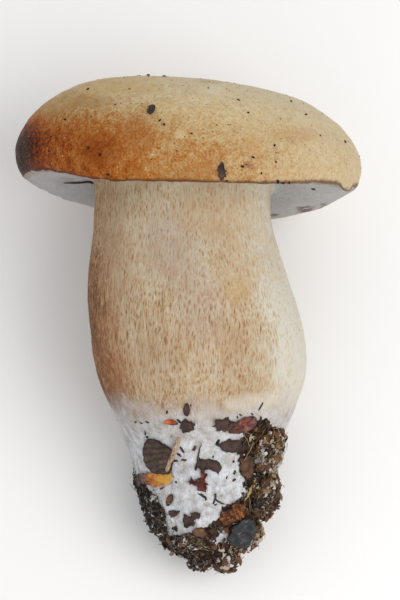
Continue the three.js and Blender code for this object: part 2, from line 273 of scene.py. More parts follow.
def keepValue(mesh, name, values):
    kept = mesh.attributes.new(name, "FLOAT", "POINT")
    kept.data.foreach_set("value", np.asarray(values, dtype=float))


def cutFaces(o, chosen):    # chosen holds one truth value for each face
    editing("DESELECT")
    bpy.ops.mesh.select_mode(type="FACE")
    doneEditing()
    o.data.polygons.foreach_set("select", chosen)
    bpy.ops.object.mode_set(mode="EDIT")
    bpy.ops.mesh.delete(type="FACE")
    bpy.ops.mesh.select_mode(type="VERT")
    doneEditing()


def borderOf(mesh):    # which points lie on an open edge
    used = np.empty(len(mesh.loops), dtype=int)
    mesh.loops.foreach_get("edge_index", used)
    isOpen = np.bincount(used, minlength=len(mesh.edges)) == 1
    return np.unique(edgeEnds(mesh)[isOpen])


def addGrid(name, across, along):
    bpy.ops.object.select_all(action="DESELECT")
    bpy.ops.mesh.primitive_grid_add(x_subdivisions=across, y_subdivisions=along, size=1)
    made = bpy.context.active_object
    made.name = made.data.name = name
    return made


def finished(o, material, cadNodes=()):
    o.data.materials.clear()
    o.data.materials.append(material)
    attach(o, "root")
    if cadNodes:
        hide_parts(*cadNodes)


def reliefTree(name):    # a geometry group with one way in and one way out
    tree = bpy.data.node_groups.new(name, "GeometryNodeTree")
    for way in ("INPUT", "OUTPUT"):
        tree.interface.new_socket("Geometry", in_out=way, socket_type="NodeSocketGeometry")
    return tree


def raised(tree, rise):    # where each point comes when it goes rise mm outwards
    offset = vectorMaths(tree, "SCALE", node(tree, "GeometryNodeInputNormal"), rise * mm)
    return vectorMaths(tree, "ADD", node(tree, "GeometryNodeInputPosition"), offset)


def settle(tree, moved):    # ends the group: the points go where they were moved, but not into the floor
    start, end = tree.nodes.new("NodeGroupInput"), tree.nodes.new("NodeGroupOutput")
    x, y, z = split(tree, moved)
    onSurface = node(tree, "ShaderNodeCombineXYZ", None, {0: x, 1: y, 2: z.most(0.0)})
    shaped = node(tree, "GeometryNodeSetPosition", None,
                  {"Geometry": Wire(tree, start.outputs[0]), "Position": onSurface})
    tree.links.new(shaped.socket, end.inputs[0])
    return tree


# The flesh. ring counts the rings of the CAD mesh from the crown: the skin ends and the tubes begin at
# the edge ring, and the tubes meet the stem at ring 20. side runs from -1 to 1 across each ring.
flesh = {
    "smoothing": 2,                # subdivision steps
    "firstRing": (98.5, 27),       # height of a level ring of the stem, mm, and its number
    "edgeRing": 14.2,
    "crownRings": 3.1,             # the rings that aren't subdivided again, at the crown
    "lip": (53.6, 2.2, 2.0),       # x of the torn lip, how far it hangs and how worn the edge behind is, mm
    "net": (1.0, 3.3),             # one mesh of the net on the stem, wide and long, mm
    "netRelief": 0.16,             # height of the net's lines, mm
    "felt": (65, 53),              # the foot's white felt begins and is whole at these heights, mm
    "soilRight": [(62, 27), (56, 21), (50, 18), (45, 15), (39, 15.5), (33, 18), (28, 19), (24, 12), (19, 8.5),
                  (16, 3), (13, -6), (0, -8)],    # height, and x beyond which soil clings
    "soilLeft": [(40, -34), (35, -22), (33, -15.5), (29, -13.6), (26, -11.5), (20, -10.5), (15, -9.5),
                 (12, -4), (8, 10), (0, 10)],
    "barePatches": [(10.4, 13.4, 2.0), (-9.5, 17.5, 1.9), (-5, 12.6, 1.3), (21, 39, 1.2), (17, 41, 1)],
}


def keepRings(o):    # how many rings each point is away from the crown, and how far it is across its ring
    mesh = o.data
    ends = edgeEnds(mesh)
    grown = toGrown(pointsOf(mesh))
    height, firstRing = flesh["firstRing"]
    above = grown[:, 2] - height
    start = np.where((np.abs(above) < 0.3) & (np.hypot(grown[:, 0], grown[:, 1]) < 40))[0]
    ring = np.full(len(mesh.vertices), -99.0)
    side = np.zeros(len(mesh.vertices))
    ring[start] = firstRing
    for way in (-1, 1):    # up to the crown, then down to the foot
        front, level = start, firstRing
        while len(front):
            level += way
            near = np.concatenate([ends[np.isin(ends[:, 0], front), 1], ends[np.isin(ends[:, 1], front), 0]])
            fresh = np.unique(near[ring[near] < -50])
            front = fresh[above[fresh] * way < 0] if level == firstRing + way else fresh
            ring[front] = level
    for level in np.unique(ring):
        loop = np.where(ring == level)[0]
        x = grown[loop, 0]
        if x.max() - x.min() > 1:
            side[loop] = (2 * x - x.max() - x.min()) / (x.max() - x.min())
    keepValue(mesh, "ring", ring)
    keepValue(mesh, "side", side)
    return len(np.unique(ring))


def soiledFlesh(grown):    # where soil clings to the foot: 1 well inside, 0 on clean flesh
    x, y, z = grown.T
    edges = []
    for name, way in (("soilRight", 1), ("soilLeft", -1)):
        heights, limits = np.array(flesh[name][::-1]).T
        edges.append((x - np.interp(z, heights, limits)) * way / 2 + 0.5)
    wavy = 0.35 * np.sin(x * 0.9 + z * 0.4) + 0.3 * np.sin(z * 1.3 - x * 0.5 + 1)
    wavy = wavy + 0.2 * np.sin(2.9 * x + 2.1 * z)
    topBehind = np.interp(x, (-15, 2), (31, 50)) + 3 * np.sin(x / 3)
    behind = np.clip((y - 2) / 6, 0, 1) * np.clip((topBehind - z) / 3, 0, 1)
    soiled = np.maximum(np.maximum(*edges) + wavy, behind)
    for middleX, middleZ, reach in flesh["barePatches"]:    # felt that shows through the soil
        bare = np.hypot(x - middleX, (z - middleZ) * 1.2) - reach
        soiled = np.where(y < 0, np.minimum(soiled, bare + 2.2 * wavy), soiled)
    top = np.interp(x, (-20, 0, 22, 34), (36, 38, 57.5, 48)) + 2.5 * wavy
    return np.clip(soiled, 0, 1) * np.clip((top - z) / 2, 0, 1)


def netLines(tree, grown):    # 1 on the lines of the stem's net, 0 inside its meshes
    wide, tall = flesh["net"]
    bent = scaled(tree, warped(tree, grown, 7.0, 1.0), 1, 1, wide / tall)
    return cells(tree, bent, wide, "DISTANCE_TO_EDGE").step(0.42, 0.03)


def fibres(tree, grown, width, length):    # streaks along the stem
    return cloud(tree, scaled(tree, warped(tree, grown, 14.0, 0.8), 1, 1, width / length), width, 3.0)


def reliefGroup():    # lifts the net, the fibres, the felted foot and the skin's dimples out of the flesh
    tree = reliefTree("fleshRelief")
    grown = node(tree, "GeometryNodeInputNamedAttribute", {"data_type": "FLOAT_VECTOR"}, {"Name": "grown"})
    ring = node(tree, "GeometryNodeInputNamedAttribute", {"data_type": "FLOAT"}, {"Name": "ring"})
    soiled = node(tree, "GeometryNodeInputNamedAttribute", {"data_type": "FLOAT"}, {"Name": "soiled"})
    x, y, z = split(tree, grown)
    skin = ring.step(15.2, 14.4)
    stem = ring.step(20.2, 22.0)
    tubes = (1 - skin) * (1 - stem)
    foot = stem * z.step(52, 40)
    net = netLines(tree, grown) * ring.step(21.5, 26) * z.step(50, 70)
    rise = stem * (net * flesh["netRelief"] + (fibres(tree, grown, 2.0, 18) - 0.5) * 0.45
                   + (cloud(tree, grown, 13) - 0.5) * 1.1)
    tufts = cells(tree, warped(tree, grown, 4, 1.2), 2.3, "SMOOTH_F1").step(0.5, 0.05)
    rise = rise + foot * ((cloud(tree, grown, 4.2, 4.0) - 0.5) * 1.7
                          + (cloud(tree, grown, 1.3, 3.0) - 0.5) * 0.6 + tufts * 0.3 - 0.15)
    crumbs = cells(tree, warped(tree, grown, 3, 0.7), 1.5).step(0.75, 0.1)
    rise = rise + soiled * (crumbs * 0.7 + (cloud(tree, grown, 3.4, 3.0) - 0.4) * 1.6)
    rise = rise + skin * ((cloud(tree, grown, 12, 2.0) - 0.5) * 1.2
                          + (cloud(tree, grown, 3.2, 3.0) - 0.5) * 0.34
                          - cells(tree, grown, 8.5, "SMOOTH_F1").step(0.30, 0.0) * 0.35)
    rise = rise + tubes * ((cloud(tree, grown, 9, 3.0) - 0.5) * 1.4)
    rim = (ring - flesh["edgeRing"]).size().step(1.3, 0.2)
    rise = rise + rim * ((cloud(tree, grown, 5.5, 3.0) - 0.5) * 1.3
                         + (cloud(tree, grown, 1.8, 2.0) - 0.5) * 0.4)
    lip = (ring - 13.7).size().step(1.7, 0.3)
    hookX, hookDrop, notchRise = flesh["lip"]
    hook = lip * (x - hookX).size().step(3.0, 0.8) * y.step(6, 0) * -hookDrop
    notch = lip * x.step(38, 45) * y.step(8, 16) * notchRise
    slid = vectorMaths(tree, "SCALE", direction(0, 0, 1)[:], hook + notch)
    return settle(tree, vectorMaths(tree, "ADD", raised(tree, rise), slid))


def makeFlesh():
    body = copyOf("mushroom", "fleshBody")
    rings = keepRings(body)
    modify(body, "SUBSURF", levels=flesh["smoothing"], render_levels=flesh["smoothing"])
    mesh = body.data
    ring = np.empty(len(mesh.vertices))
    mesh.attributes["ring"].data.foreach_get("value", ring)
    ends = edgeEnds(mesh)
    editing("DESELECT")
    doneEditing()
    level = np.abs(ring[ends[:, 0]] - ring[ends[:, 1]]) < 0.04    # the edges that go round the flesh
    mesh.edges.foreach_set("select", level & (ring[ends[:, 0]] > flesh["crownRings"]))
    bpy.context.tool_settings.mesh_select_mode = (False, True, False)
    bpy.ops.object.mode_set(mode="EDIT")
    bpy.ops.mesh.subdivide(number_cuts=1, smoothness=1.0)
    bpy.ops.mesh.select_mode(type="VERT")
    doneEditing()
    mesh = body.data
    grown = toGrown(pointsOf(mesh))
    keepVector(mesh, "grown", grown)
    keepValue(mesh, "soiled", soiledFlesh(grown))
    modify(body, "NODES", node_group=reliefGroup())
    bpy.ops.object.shade_smooth()
    print("flesh:", rings, "rings,", len(body.data.polygons), "faces")
    return body


# Stains on the front of the flesh, with two marks of painted shade among them: x and z of the middle, reach
# across and up in mm, colour, strength.
stainsAndShade = {
    "skin": [
        (7.5, 170.6, 4.5, 1.2, (140, 118, 74), 0.32), (20.6, 146.4, 2.6, 2.8, (182, 132, 78), 0.4),
        (20.3, 139.6, 1.6, 1.3, (128, 60, 34), 0.6), (8, 165.6, 3.0, 2.0, (206, 196, 172), 0.55),
        (-2.5, 150.3, 1.6, 1.0, (206, 190, 150), 0.5), (-33, 162.0, 6.0, 2.6, (150, 112, 62), 0.4),
        (-17.2, 150.8, 4.2, 5.5, (150, 84, 38), 0.4), (-30, 144.5, 5.5, 4.5, (120, 54, 8), 0.5),
        (-44, 163, 8.0, 4.0, (164, 116, 54), 0.4), (-26, 168, 12.0, 4.0, (196, 162, 106), 0.4),
        (35.0, 150.2, 7.0, 2.4, (170, 126, 78), 0.35), (1.2, 137.4, 10.0, 2.4, (152, 108, 62), 0.35),
    ],
    "tubes": [
        (41.5, 127.6, 2.6, 0.9, (104, 70, 46), 0.8), (29.8, 125.6, 1.2, 0.8, (116, 80, 54), 0.7),
        # the grey mark at x -44 is painted shade on the tubes near the cap's left margin
        (47.5, 129.4, 1.6, 0.7, (120, 88, 62), 0.6), (-44, 136.6, 3.0, 1.2, (150, 146, 146), 0.4),
    ],
    "stem": [
        (15.4, 99.0, 4.6, 3.6, (176, 144, 88), 0.45), (-28, 81, 5.0, 10.0, (160, 108, 70), 0.3),
        (-24, 68, 4.2, 8.0, (160, 102, 62), 0.35), (-6.5, 113, 8.0, 11.0, (176, 158, 150), 0.35),
        (4, 93, 7.0, 11.0, (176, 158, 148), 0.3), (-11, 76, 8.0, 7.0, (160, 124, 88), 0.3),
        (18, 76, 9.0, 12.0, (150, 122, 86), 0.25), (21, 59.5, 8.0, 3.5, (204, 197, 182), 0.65),
        # the dark mark at x -26, z 57.5 is painted shade along the foot's left edge
        (-26, 57.5, 3.0, 4.5, (124, 104, 92), 0.6), (-0.5, 56.6, 0.9, 2.6, (186, 132, 88), 0.6),
        (8, 124, 12.0, 6.0, (176, 146, 104), 0.3), (-24, 104, 5.0, 12.0, (164, 130, 104), 0.35),
        (-2.3, 37.2, 1.1, 1.2, (160, 130, 92), 0.7), (-3.3, 29.8, 1.0, 1.4, (150, 114, 76), 0.7),
    ],
}


# paints the listed marks onto the front of the flesh: stains and painted shade alike
def stainedAndShaded(tree, grown, colour, marks, front):
    x, y, z = split(tree, warped(tree, warped(tree, grown, 6.0, 2.2), 1.8, 0.8))
    for middleX, middleZ, across, up, tint, strength in marks:
        offX, offZ = (x - middleX) / across, (z - middleZ) / up
        away = offX * offX + offZ * offZ
        colour = mixed(tree, away.step(2.6, 0.0) * front * strength, colour, paint(*tint))
    return colour


def fleshMaterial():
    material, tree, shader = newMaterial("porciniFlesh")
    grown, ring = attribute(tree, "grown"), attribute(tree, "ring", "Fac")
    side, soiled = attribute(tree, "side", "Fac"), attribute(tree, "soiled", "Fac")
    x, y, z = split(tree, grown)
    front = y.step(6, -2)
    broad, blotch = cloud(tree, grown, 26, 3.0) - 0.5, cloud(tree, grown, 7, 4.0) - 0.5
    grain, speck = cloud(tree, grown, 0.7, 3.0) - 0.5, cloud(tree, grown, 2.2, 3.0) - 0.5

    # the skin of the cap: chestnut at the far left, orange-brown beside it, cream at the top and the right;
    # the darkening towards the left is partly the skin's own pigment and partly painted shade
    left, low = (x + broad * 22).step(20, -50), (z + broad * 10).step(169, 138)
    lowLeft = (z + blotch * 12).step(166, 149)
    # far is the darkest band at the cap's very left edge: partly pigment, partly painted shade
    right, far = x.step(8, 50), (x + blotch * 10).step(-44, -61) * (0.12 + lowLeft * 0.88)
    pigment = 0.09 + low * 0.33 * (1 - left) * (1 - right * 0.5) + left * (0.17 + lowLeft * 0.43) + far * 0.38
    pigment = pigment + blotch * 0.36 * (0.5 + left) + grain * (0.62 + left * 0.12)
    pigment = pigment + speck * (0.36 + left * 0.16)
    skinColour = ramp(tree, pigment.inside(), [
        (0.0, (203, 190, 162)), (0.2, (191, 170, 129)), (0.36, (176, 144, 98)), (0.5, (164, 111, 54)),
        (0.66, (154, 80, 21)), (0.82, (112, 48, 5)), (1.0, (40, 15, 3))])
    freckles = cells(tree, warped(tree, grown, 2, 0.4), 1.15)
    chosen = split(tree, cells(tree, warped(tree, grown, 2, 0.4), 1.15, output=1))[0]
    freckles = freckles.step(0.36, 0.12) * (chosen + pigment * 0.6).step(0.84, 0.94)
    skinColour = mixed(tree, freckles * 0.5, skinColour, paint(96, 52, 20))
    pale = cells(tree, warped(tree, grown, 5, 1.2), 3.1).step(0.1, 0.04)
    skinColour = mixed(tree, pale * 0.5, skinColour, paint(214, 200, 172))
    skinColour = mixed(tree, right * 0.3, skinColour, paint(184, 172, 148))
    skinColour = stainedAndShaded(tree, grown, skinColour, stainsAndShade["skin"], front)
    rimLine = (ring + speck * 0.5).step(13.65, 14.1)
    skinColour = mixed(tree, rimLine * 0.8, skinColour, paint(74, 42, 22))

    # the tubes: pale, with fine pores
    pores = cells(tree, grown, 0.42, "F1").step(0.1, 0.55)
    poreColour = mixed(tree, (blotch * 1.2 + 0.3).inside(), paint(192, 191, 193), paint(174, 170, 164))
    poreColour = mixed(tree, (1 - pores) * 0.32, poreColour, paint(120, 114, 106))
    poreColour = stainedAndShaded(tree, grown, poreColour, stainsAndShade["tubes"], 1.0)
    bruised = (ring + speck * 2.5).step(15.7, 14.3)
    poreColour = mixed(tree, bruised * 0.6, poreColour, paint(142, 108, 78))

    # the stem: a pale net over tan, ochre and lilac-grey in patches; browner at the left, partly pigment and
    # partly painted shade, and pale at the right, partly pale flesh and partly painted light
    net = netLines(tree, grown)
    patchy = (cloud(tree, grown, 11, 2.0)).step(0.4, 0.62)
    sizes = ((0.5, 3.4), (1.3, 9), (4.5, 60))
    fine, streak, longStreak = (fibres(tree, grown, *size) - 0.5 for size in sizes)
    lower = z.step(118, 88)
    # the left band is partly brown pigment and partly painted shade; the right band is partly pale flesh and
    # partly painted light
    leftBrownAndShade = (side + longStreak * 0.2 + blotch * 0.1).step(-0.6, -1.0)
    rightPaleAndLit = (side + longStreak * 0.3).step(0.42, 0.96)
    brown = 0.47 + leftBrownAndShade * (0.24 + lower * 0.19) - rightPaleAndLit * (0.2 + lower * 0.26)
    brown = brown + broad * 0.3 + blotch * 0.14 + (streak * 0.66 + fine * 1.05) * (0.65 + lower * 0.35)
    brown = brown + longStreak * 0.2 + grain * 0.26
    brown = brown - (net - 0.4) * (0.16 + patchy * 0.2) * z.step(56, 72) + lower * (1 - rightPaleAndLit) * 0.06
    stemColour = ramp(tree, brown.inside(), [
        (0.0, (197, 192, 180)), (0.24, (188, 174, 150)), (0.48, (178, 153, 122)),
        (0.68, (156, 121, 90)), (0.84, (128, 92, 66)), (1.0, (96, 69, 53))])
    stemColour = stainedAndShaded(tree, grown, stemColour, stainsAndShade["stem"], front)
    white = (z + blotch * 14 + longStreak * 12).step(*flesh["felt"])
    tufts = cloud(tree, grown, 3.0, 4.0, 0.62)
    feltTone = (tufts + fine * 0.3 + grain * 0.2 - z.step(36, 56) * 0.1).inside()
    felt = ramp(tree, feltTone, [
        (0.2, (136, 124, 112)), (0.36, (176, 172, 170)), (0.5, (194, 195, 198)), (0.72, (216, 218, 223))])
    felt = mixed(tree, z.step(44, 58) * 0.55, felt, paint(180, 172, 164))
    stemColour = mixed(tree, white, stemColour, felt)
    crumb = split(tree, cells(tree, warped(tree, grown, 3, 0.7), 1.5, output=1))[0]
    soilTone = (crumb * 0.5 + 0.15 + speck * 0.8 + grain * 0.6).inside()
    soilColour = ramp(tree, soilTone, [
        (0.0, (16, 13, 12)), (0.35, (40, 30, 25)), (0.6, (68, 50, 39)), (0.8, (98, 76, 58)),
        (1.0, (150, 132, 108))])
    stemColour = mixed(tree, (soiled + speck * 0.8).step(0.25, 0.6), stemColour, soilColour)

    isSkin = (ring + speck * 0.5).step(14.6, 14.3)
    isStem = (ring + speck * 0.7).step(19.9, 20.5)
    colour = mixed(tree, isStem, poreColour, stemColour)
    colour = mixed(tree, isSkin, colour, skinColour)
    wear(shader, "Base Color", colour)
    wear(shader, "Roughness", 0.64 + grain * 0.25 - isSkin * 0.12 + isStem * 0.08)
    wear(shader, "Coat Weight", isSkin * (1 - left) * (0.08 + blotch * 0.2).inside())
    height = isSkin * (grain * 0.6 + 0.5 + speck * 0.8 - freckles * 0.3)
    height = height + isStem * (net * 0.35 + fine * 0.8 + streak * 0.6 + grain * 0.4 + 0.5)
    height = height + (1 - isSkin) * (1 - isStem) * pores
    wear(shader, "Normal", bumped(tree, height, 0.0003))
    wear(shader, "Coat Roughness", 0.42)
    wear(shader, "Subsurface Weight", 0.1)
    wear(shader, "Subsurface Radius", (1.0, 0.6, 0.35))
    wear(shader, "Subsurface Scale", 0.002)
    wear(shader, "Specular IOR Level", 0.08)
    return material


body = makeFlesh()
finished(body, fleshMaterial(), ["mushroom"])


def treeOf(o):
    points = [v.co.copy() for v in o.data.vertices]
    return BVHTree.FromPolygons(points, [f.vertices[:] for f in o.data.polygons])


fleshTree = treeOf(body)
stemUp = direction(0, 0, 1).normalized()


def middleOf(cadNode):
    low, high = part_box(cadNode)
    return (Vector(low) + Vector(high)) / 2


# A place on the flesh, with the directions round it, up it and out of it.
class Spot:
    def __init__(self, near):
        self.place, self.out = fleshTree.find_nearest(near)[:2]
        self.square()

    def face(self, way, share):    # turns the outward direction towards way
        self.out = self.out.lerp(way, share).normalized()
        self.square()

    def square(self):    # sets up and across at right angles to out
        self.up = (stemUp - self.out * stemUp.dot(self.out)).normalized()
        self.across = self.up.cross(self.out)

    def drape(self, a, b, lift):    # a round the flesh, b up it and lift out of it, in mm
        place, out = fleshTree.find_nearest(self.place + (self.across * a + self.up * b) * mm)[:2]
        return place + out * lift * mm


def inFront(x, z):    # the place on the flesh that stands at x and z, seen from the front
    start, onward = lying(x, -150, z), direction(0, 1, 0).normalized()
    hit = fleshTree.ray_cast(start, onward)[0]
    return hit if hit is not None else fleshTree.find_nearest(lying(x, -20, z))[0]


# Scraps of leaf, bark, wood and stone. Sizes are in mm, the first round the flesh and the second up it,
# before the tilt. bites are round holes in the outline: where their middle is, and how far they reach.
plainScrap = {
    "slot": "leaf", "look": "darkLeaf",
    "thick": 0.3,       # mm
    "fine": 26,         # steps of the grid that the outline is cut from
    "ragged": 0.06,     # unevenness of the outline
    "taper": 0,         # above 0, wider at the right
    "bites": (),
    "shift": (0, 0),    # away from the middle of the CAD solid, mm
    "stiff": 0,         # 0 follows the flesh, 1 stays flat
    "face": 0,          # turn towards the front, as a share
    "stand": 0.9,       # how far a stiff scrap stands out, mm
}
scraps = {
    "bark_flake_left": {"size": (12.6, 13.0), "tilt": 16, "power": 2.5, "ragged": 0.05, "seed": 2,
        "thick": 0.8, "curl": 0.25, "fine": 46, "look": "bark", "slot": "bark",
        "bites": [(-9.6, -7.0, 5.0)], "ridges": (4.5, -10.0, 2.1, 0.26), "shift": (0.3, 0), "stiff": 0.35},
    "amber_bud_scale": {"size": (22.5, 4.9), "tilt": -5, "power": 3.2, "seed": 5, "curl": 0.9, "fine": 44,
        "look": "amber", "taper": 0.15, "bites": [(-3.0, -4.3, 2.9), (11.0, -3.4, 2.6)],
        "shift": (-3.0, 1.0)},
    "dark_bud_scale_upper": {"size": (2.4, 5.0), "tilt": 3, "power": 1.7, "seed": 3, "curl": 0.3,
        "ridges": (0, -20, 0.8, 0.06)},
    "leaf_scrap_upper": {"size": (4.8, 4.9), "tilt": 20, "power": 2.8, "ragged": 0.14, "seed": 7,
        "thick": 0.25, "curl": 0.8, "bites": [(-2.9, 2.4, 1.3)]},
    "orange_bud_scale": {"size": (5.0, 2.2), "tilt": 8, "power": 1.7, "seed": 4, "curl": 0.3,
        "look": "orangeScale", "ridges": (0, 12, 0.8, 0.08)},
    "leaf_scrap_upper_right": {"size": (7.4, 5.0), "tilt": 2, "shift": (1.2, 0), "power": 2.8,
        "ragged": 0.16, "seed": 9, "thick": 0.25, "curl": 0.7, "fine": 34,
        "bites": [(2.9, -2.9, 1.4), (-3.4, -1.9, 1.2), (-0.6, 3.1, 1.1)]},
    "rust_leaf": {"size": (10.4, 5.4), "tilt": -22, "power": 2.4, "ragged": 0.08, "seed": 6, "curl": 1.0,
        "fine": 34, "look": "rust", "bites": [(-2.0, 3.6, 1.6)]},
    "leaf_point": {"size": (9.4, 5.0), "tilt": 4, "power": 1.5, "ragged": 0.1, "seed": 8, "thick": 0.28,
        "curl": 0.6, "fine": 34, "taper": 0.6, "shift": (0.9, 0.2)},
    "brown_leaf_scrap": {"size": (9.4, 7.6), "tilt": 28, "power": 1.8, "ragged": 0.1, "seed": 10,
        "curl": 0.8, "fine": 34, "look": "brownLeaf", "bites": [(4.0, 2.6, 1.4), (-1.2, 4.1, 1.1)]},
    "notched_leaf": {"size": (8.8, 6.0), "tilt": 10, "power": 2.6, "ragged": 0.07, "seed": 11,
        "thick": 0.28, "curl": 0.8, "fine": 40, "shift": (-1.2, 0),
        "bites": [(0.6, -3.7, 2.9), (-3.2, -3.6, 2.5)]},
    "curled_red_leaf": {"size": (7.6, 7.6), "tilt": -12, "power": 2, "ragged": 0.14, "seed": 12,
        "thick": 0.35, "curl": 1.2, "fine": 44, "look": "redLeaf", "shift": (0.3, 0.3),
        "bites": [(-0.5, 2.6, 2.0), (3.9, -0.6, 1.7), (-3.2, -3.0, 2.0), (-3.6, 2.4, 1.1)]},
    "brown_scale_left": {"size": (2.6, 5.6), "tilt": 34, "power": 1.8, "seed": 13, "thick": 0.35,
        "curl": 0.4, "look": "brownLeaf"},
    "leaf_stub_left": {"size": (4.6, 2.6), "tilt": -12, "power": 2, "ragged": 0.16, "seed": 14,
        "curl": 0.5},
    "bud_scales": {"size": (8.8, 5.2), "tilt": -30, "power": 1.5, "ragged": 0.14, "seed": 15, "curl": 0.9,
        "fine": 34, "bites": [(0.6, 1.9, 1.1), (1.4, -2.2, 1.2)]},
    "slate_chip": {"size": (9.2, 11.0), "tilt": 24, "shift": (-0.3, 0.2), "power": 2.6, "ragged": 0.1,
        "seed": 16, "thick": 1.0, "curl": 0.3, "fine": 40, "look": "slate", "slot": "slate",
        "ridges": (-14.0, 9.0, 1.1, 0.3), "stiff": 1, "face": 0.5, "stand": 2.3},
    "rotten_wood_chip": {"size": (10.2, 6.6), "tilt": -24, "power": 2.4, "ragged": 0.14, "seed": 17,
        "thick": 0.9, "curl": 0.5, "fine": 34, "look": "rottenWood", "slot": "bark", "crumble": 0.32,
        "stiff": 0.4},
    "brown_bud": {"size": (4.2, 3.8), "tilt": 0, "power": 2, "seed": 18, "thick": 0.8, "curl": -1.0,
        "look": "brownLeaf", "ridges": (0, -9, 0.7, 0.14)},
    "cap_leaf_scrap": {"size": (2.8, 5.6), "tilt": -4, "power": 2.2, "ragged": 0.22, "seed": 19,
        "thick": 0.25, "curl": 0.5, "bites": [(1.5, 1.0, 0.8)]},
    "cap_bark_scrap": {"size": (2.5, 4.0), "tilt": 14, "power": 2.2, "seed": 20, "thick": 0.5, "curl": 0.1,
        "look": "bark", "slot": "bark", "ridges": (0, -20, 0.6, 0.05)},
}


def insideOutline(scrap, a, b):    # how far a point is inside the outline, in mm
    across, along = scrap["size"]
    b = b / (1 + scrap["taper"] * a / across * 2)    # wider to the right
    power, seed, ragged = scrap["power"], scrap["seed"], scrap["ragged"]
    angle = np.arctan2(b, a)
    even = ((np.abs(np.cos(angle)) * 2 / across) ** power + (np.abs(np.sin(angle)) * 2 / along) ** power)
    even = even ** (-1 / power)
    bays = np.sin(3 * angle + seed) + np.sin(5 * angle + 2.3 * seed) + np.sin(8 * angle + 4.1 * seed)
    teeth = np.sin(17 * angle + seed) + 0.6 * np.sin(31 * angle + 2 * seed)
    depth = even * (1 + ragged * (bays / 2 + teeth / 4)) - np.hypot(a, b)
    for x, y, reach in scrap["bites"]:
        uneven = 0.1 * np.sin(5 * np.arctan2(b - y, a - x) + seed)
        depth = np.minimum(depth, np.hypot(a - x, b - y) - reach * (1 + uneven))
    return depth


def scrapRise(scrap, a, b, depth):    # how far the scrap stands off the flesh, in mm
    seed, reach = scrap["seed"], max(scrap["size"]) / 2
    rim = 1 - np.clip(depth / (0.45 * reach), 0, 1)
    side = 0.5 + 0.5 * np.sin(np.arctan2(b, a) * 2 + seed * 1.7)
    rise = 0.22 + scrap["curl"] * rim ** 2 * side + 0.12 * np.sin(1.1 * a + seed) * np.sin(0.9 * b + 2 * seed)
    rise += 0.05 * np.sin(3.1 * a - 1.7 * b + seed) * np.sin(2.7 * b + seed)
    if "ridges" in scrap:
        x, y, spacing, height = scrap["ridges"]
        away = np.hypot(a - x, b - y) + 0.25 * np.sin(0.8 * a + seed) + 0.12 * np.sin(2.3 * b)
        rise += height * (np.abs(np.sin(away / spacing * np.pi)) - 0.5) * np.clip(depth / 0.6, 0, 1)
    if "crumble" in scrap:
        lumps = np.sin(2.4 * a + seed) * np.sin(2.9 * b - seed) + 0.5 * np.sin(5.3 * a + 4.1 * b)
        rise += scrap["crumble"] * np.abs(lumps)
    return np.maximum(rise, 0.05)


def makeScrap(name, scrap, looks):
    piece = addGrid(name + "Piece", scrap["fine"], scrap["fine"])
    flat = pointsOf(piece.data)[:, :2] * np.array(scrap["size"]) * 1.34
    corners = np.array([f.vertices[:] for f in piece.data.polygons])
    middles = flat[corners].mean(axis=1)
    placePoints(piece.data, np.c_[flat, np.zeros(len(flat))])
    cutFaces(piece, insideOutline(scrap, middles[:, 0], middles[:, 1]) < 0)
    mesh = piece.data
    a, b = pointsOf(mesh)[:, 0], pointsOf(mesh)[:, 1]
    border = borderOf(mesh)
    for _ in range(4):    # the stepped border is drawn onto the outline
        x, y = a[border], b[border]
        depth = insideOutline(scrap, x, y)
        slopeX = (insideOutline(scrap, x + 0.02, y) - insideOutline(scrap, x - 0.02, y)) / 0.04
        slopeY = (insideOutline(scrap, x, y + 0.02) - insideOutline(scrap, x, y - 0.02)) / 0.04
        pull = np.clip(depth / np.maximum(slopeX ** 2 + slopeY ** 2, 0.5), -0.3, 0.3)
        a[border], b[border] = x - pull * slopeX, y - pull * slopeY
    depth = np.maximum(insideOutline(scrap, a, b), 0)
    rise = scrapRise(scrap, a, b, depth)
    tilt = math.radians(scrap["tilt"])
    spot = Spot(middleOf(name))
    shiftA, shiftB = scrap["shift"]
    u = a * math.cos(tilt) + b * math.sin(tilt) + shiftA
    v = b * math.cos(tilt) - a * math.sin(tilt) + shiftB
    stiff = scrap["stiff"]
    draped = [spot.drape(*at) for at in zip(u, v, rise)]
    spot.face(direction(0, -1, 0).normalized(), scrap["face"])
    for i, (x, y, z) in enumerate(zip(u, v, rise)):
        out = spot.out * (z + scrap["stand"] * stiff)
        level = spot.place + (spot.across * x + spot.up * y + out) * mm
        draped[i] = draped[i].lerp(level, stiff)[:]
    placePoints(mesh, draped)
    smooth = scrapRise({k: v for k, v in scrap.items() if k not in ("ridges", "crumble")}, a, b, depth)
    # high is how far ridges and lumps stand above the plain surface; the scrap materials paint shade and
    # highlight from it
    keepValue(mesh, "high", rise - smooth)
    keepVector(mesh, "flat", np.c_[a, b, np.full(len(a), scrap["seed"] * 7.3)])
    keepValue(mesh, "rim", depth)
    modify(piece, "SOLIDIFY", thickness=scrap["thick"] * mm, offset=1.0)
    modify(piece, "SUBSURF", levels=1, render_levels=1)
    bpy.ops.object.shade_smooth()
    finished(piece, looks[scrap["look"]], [name])
    return piece


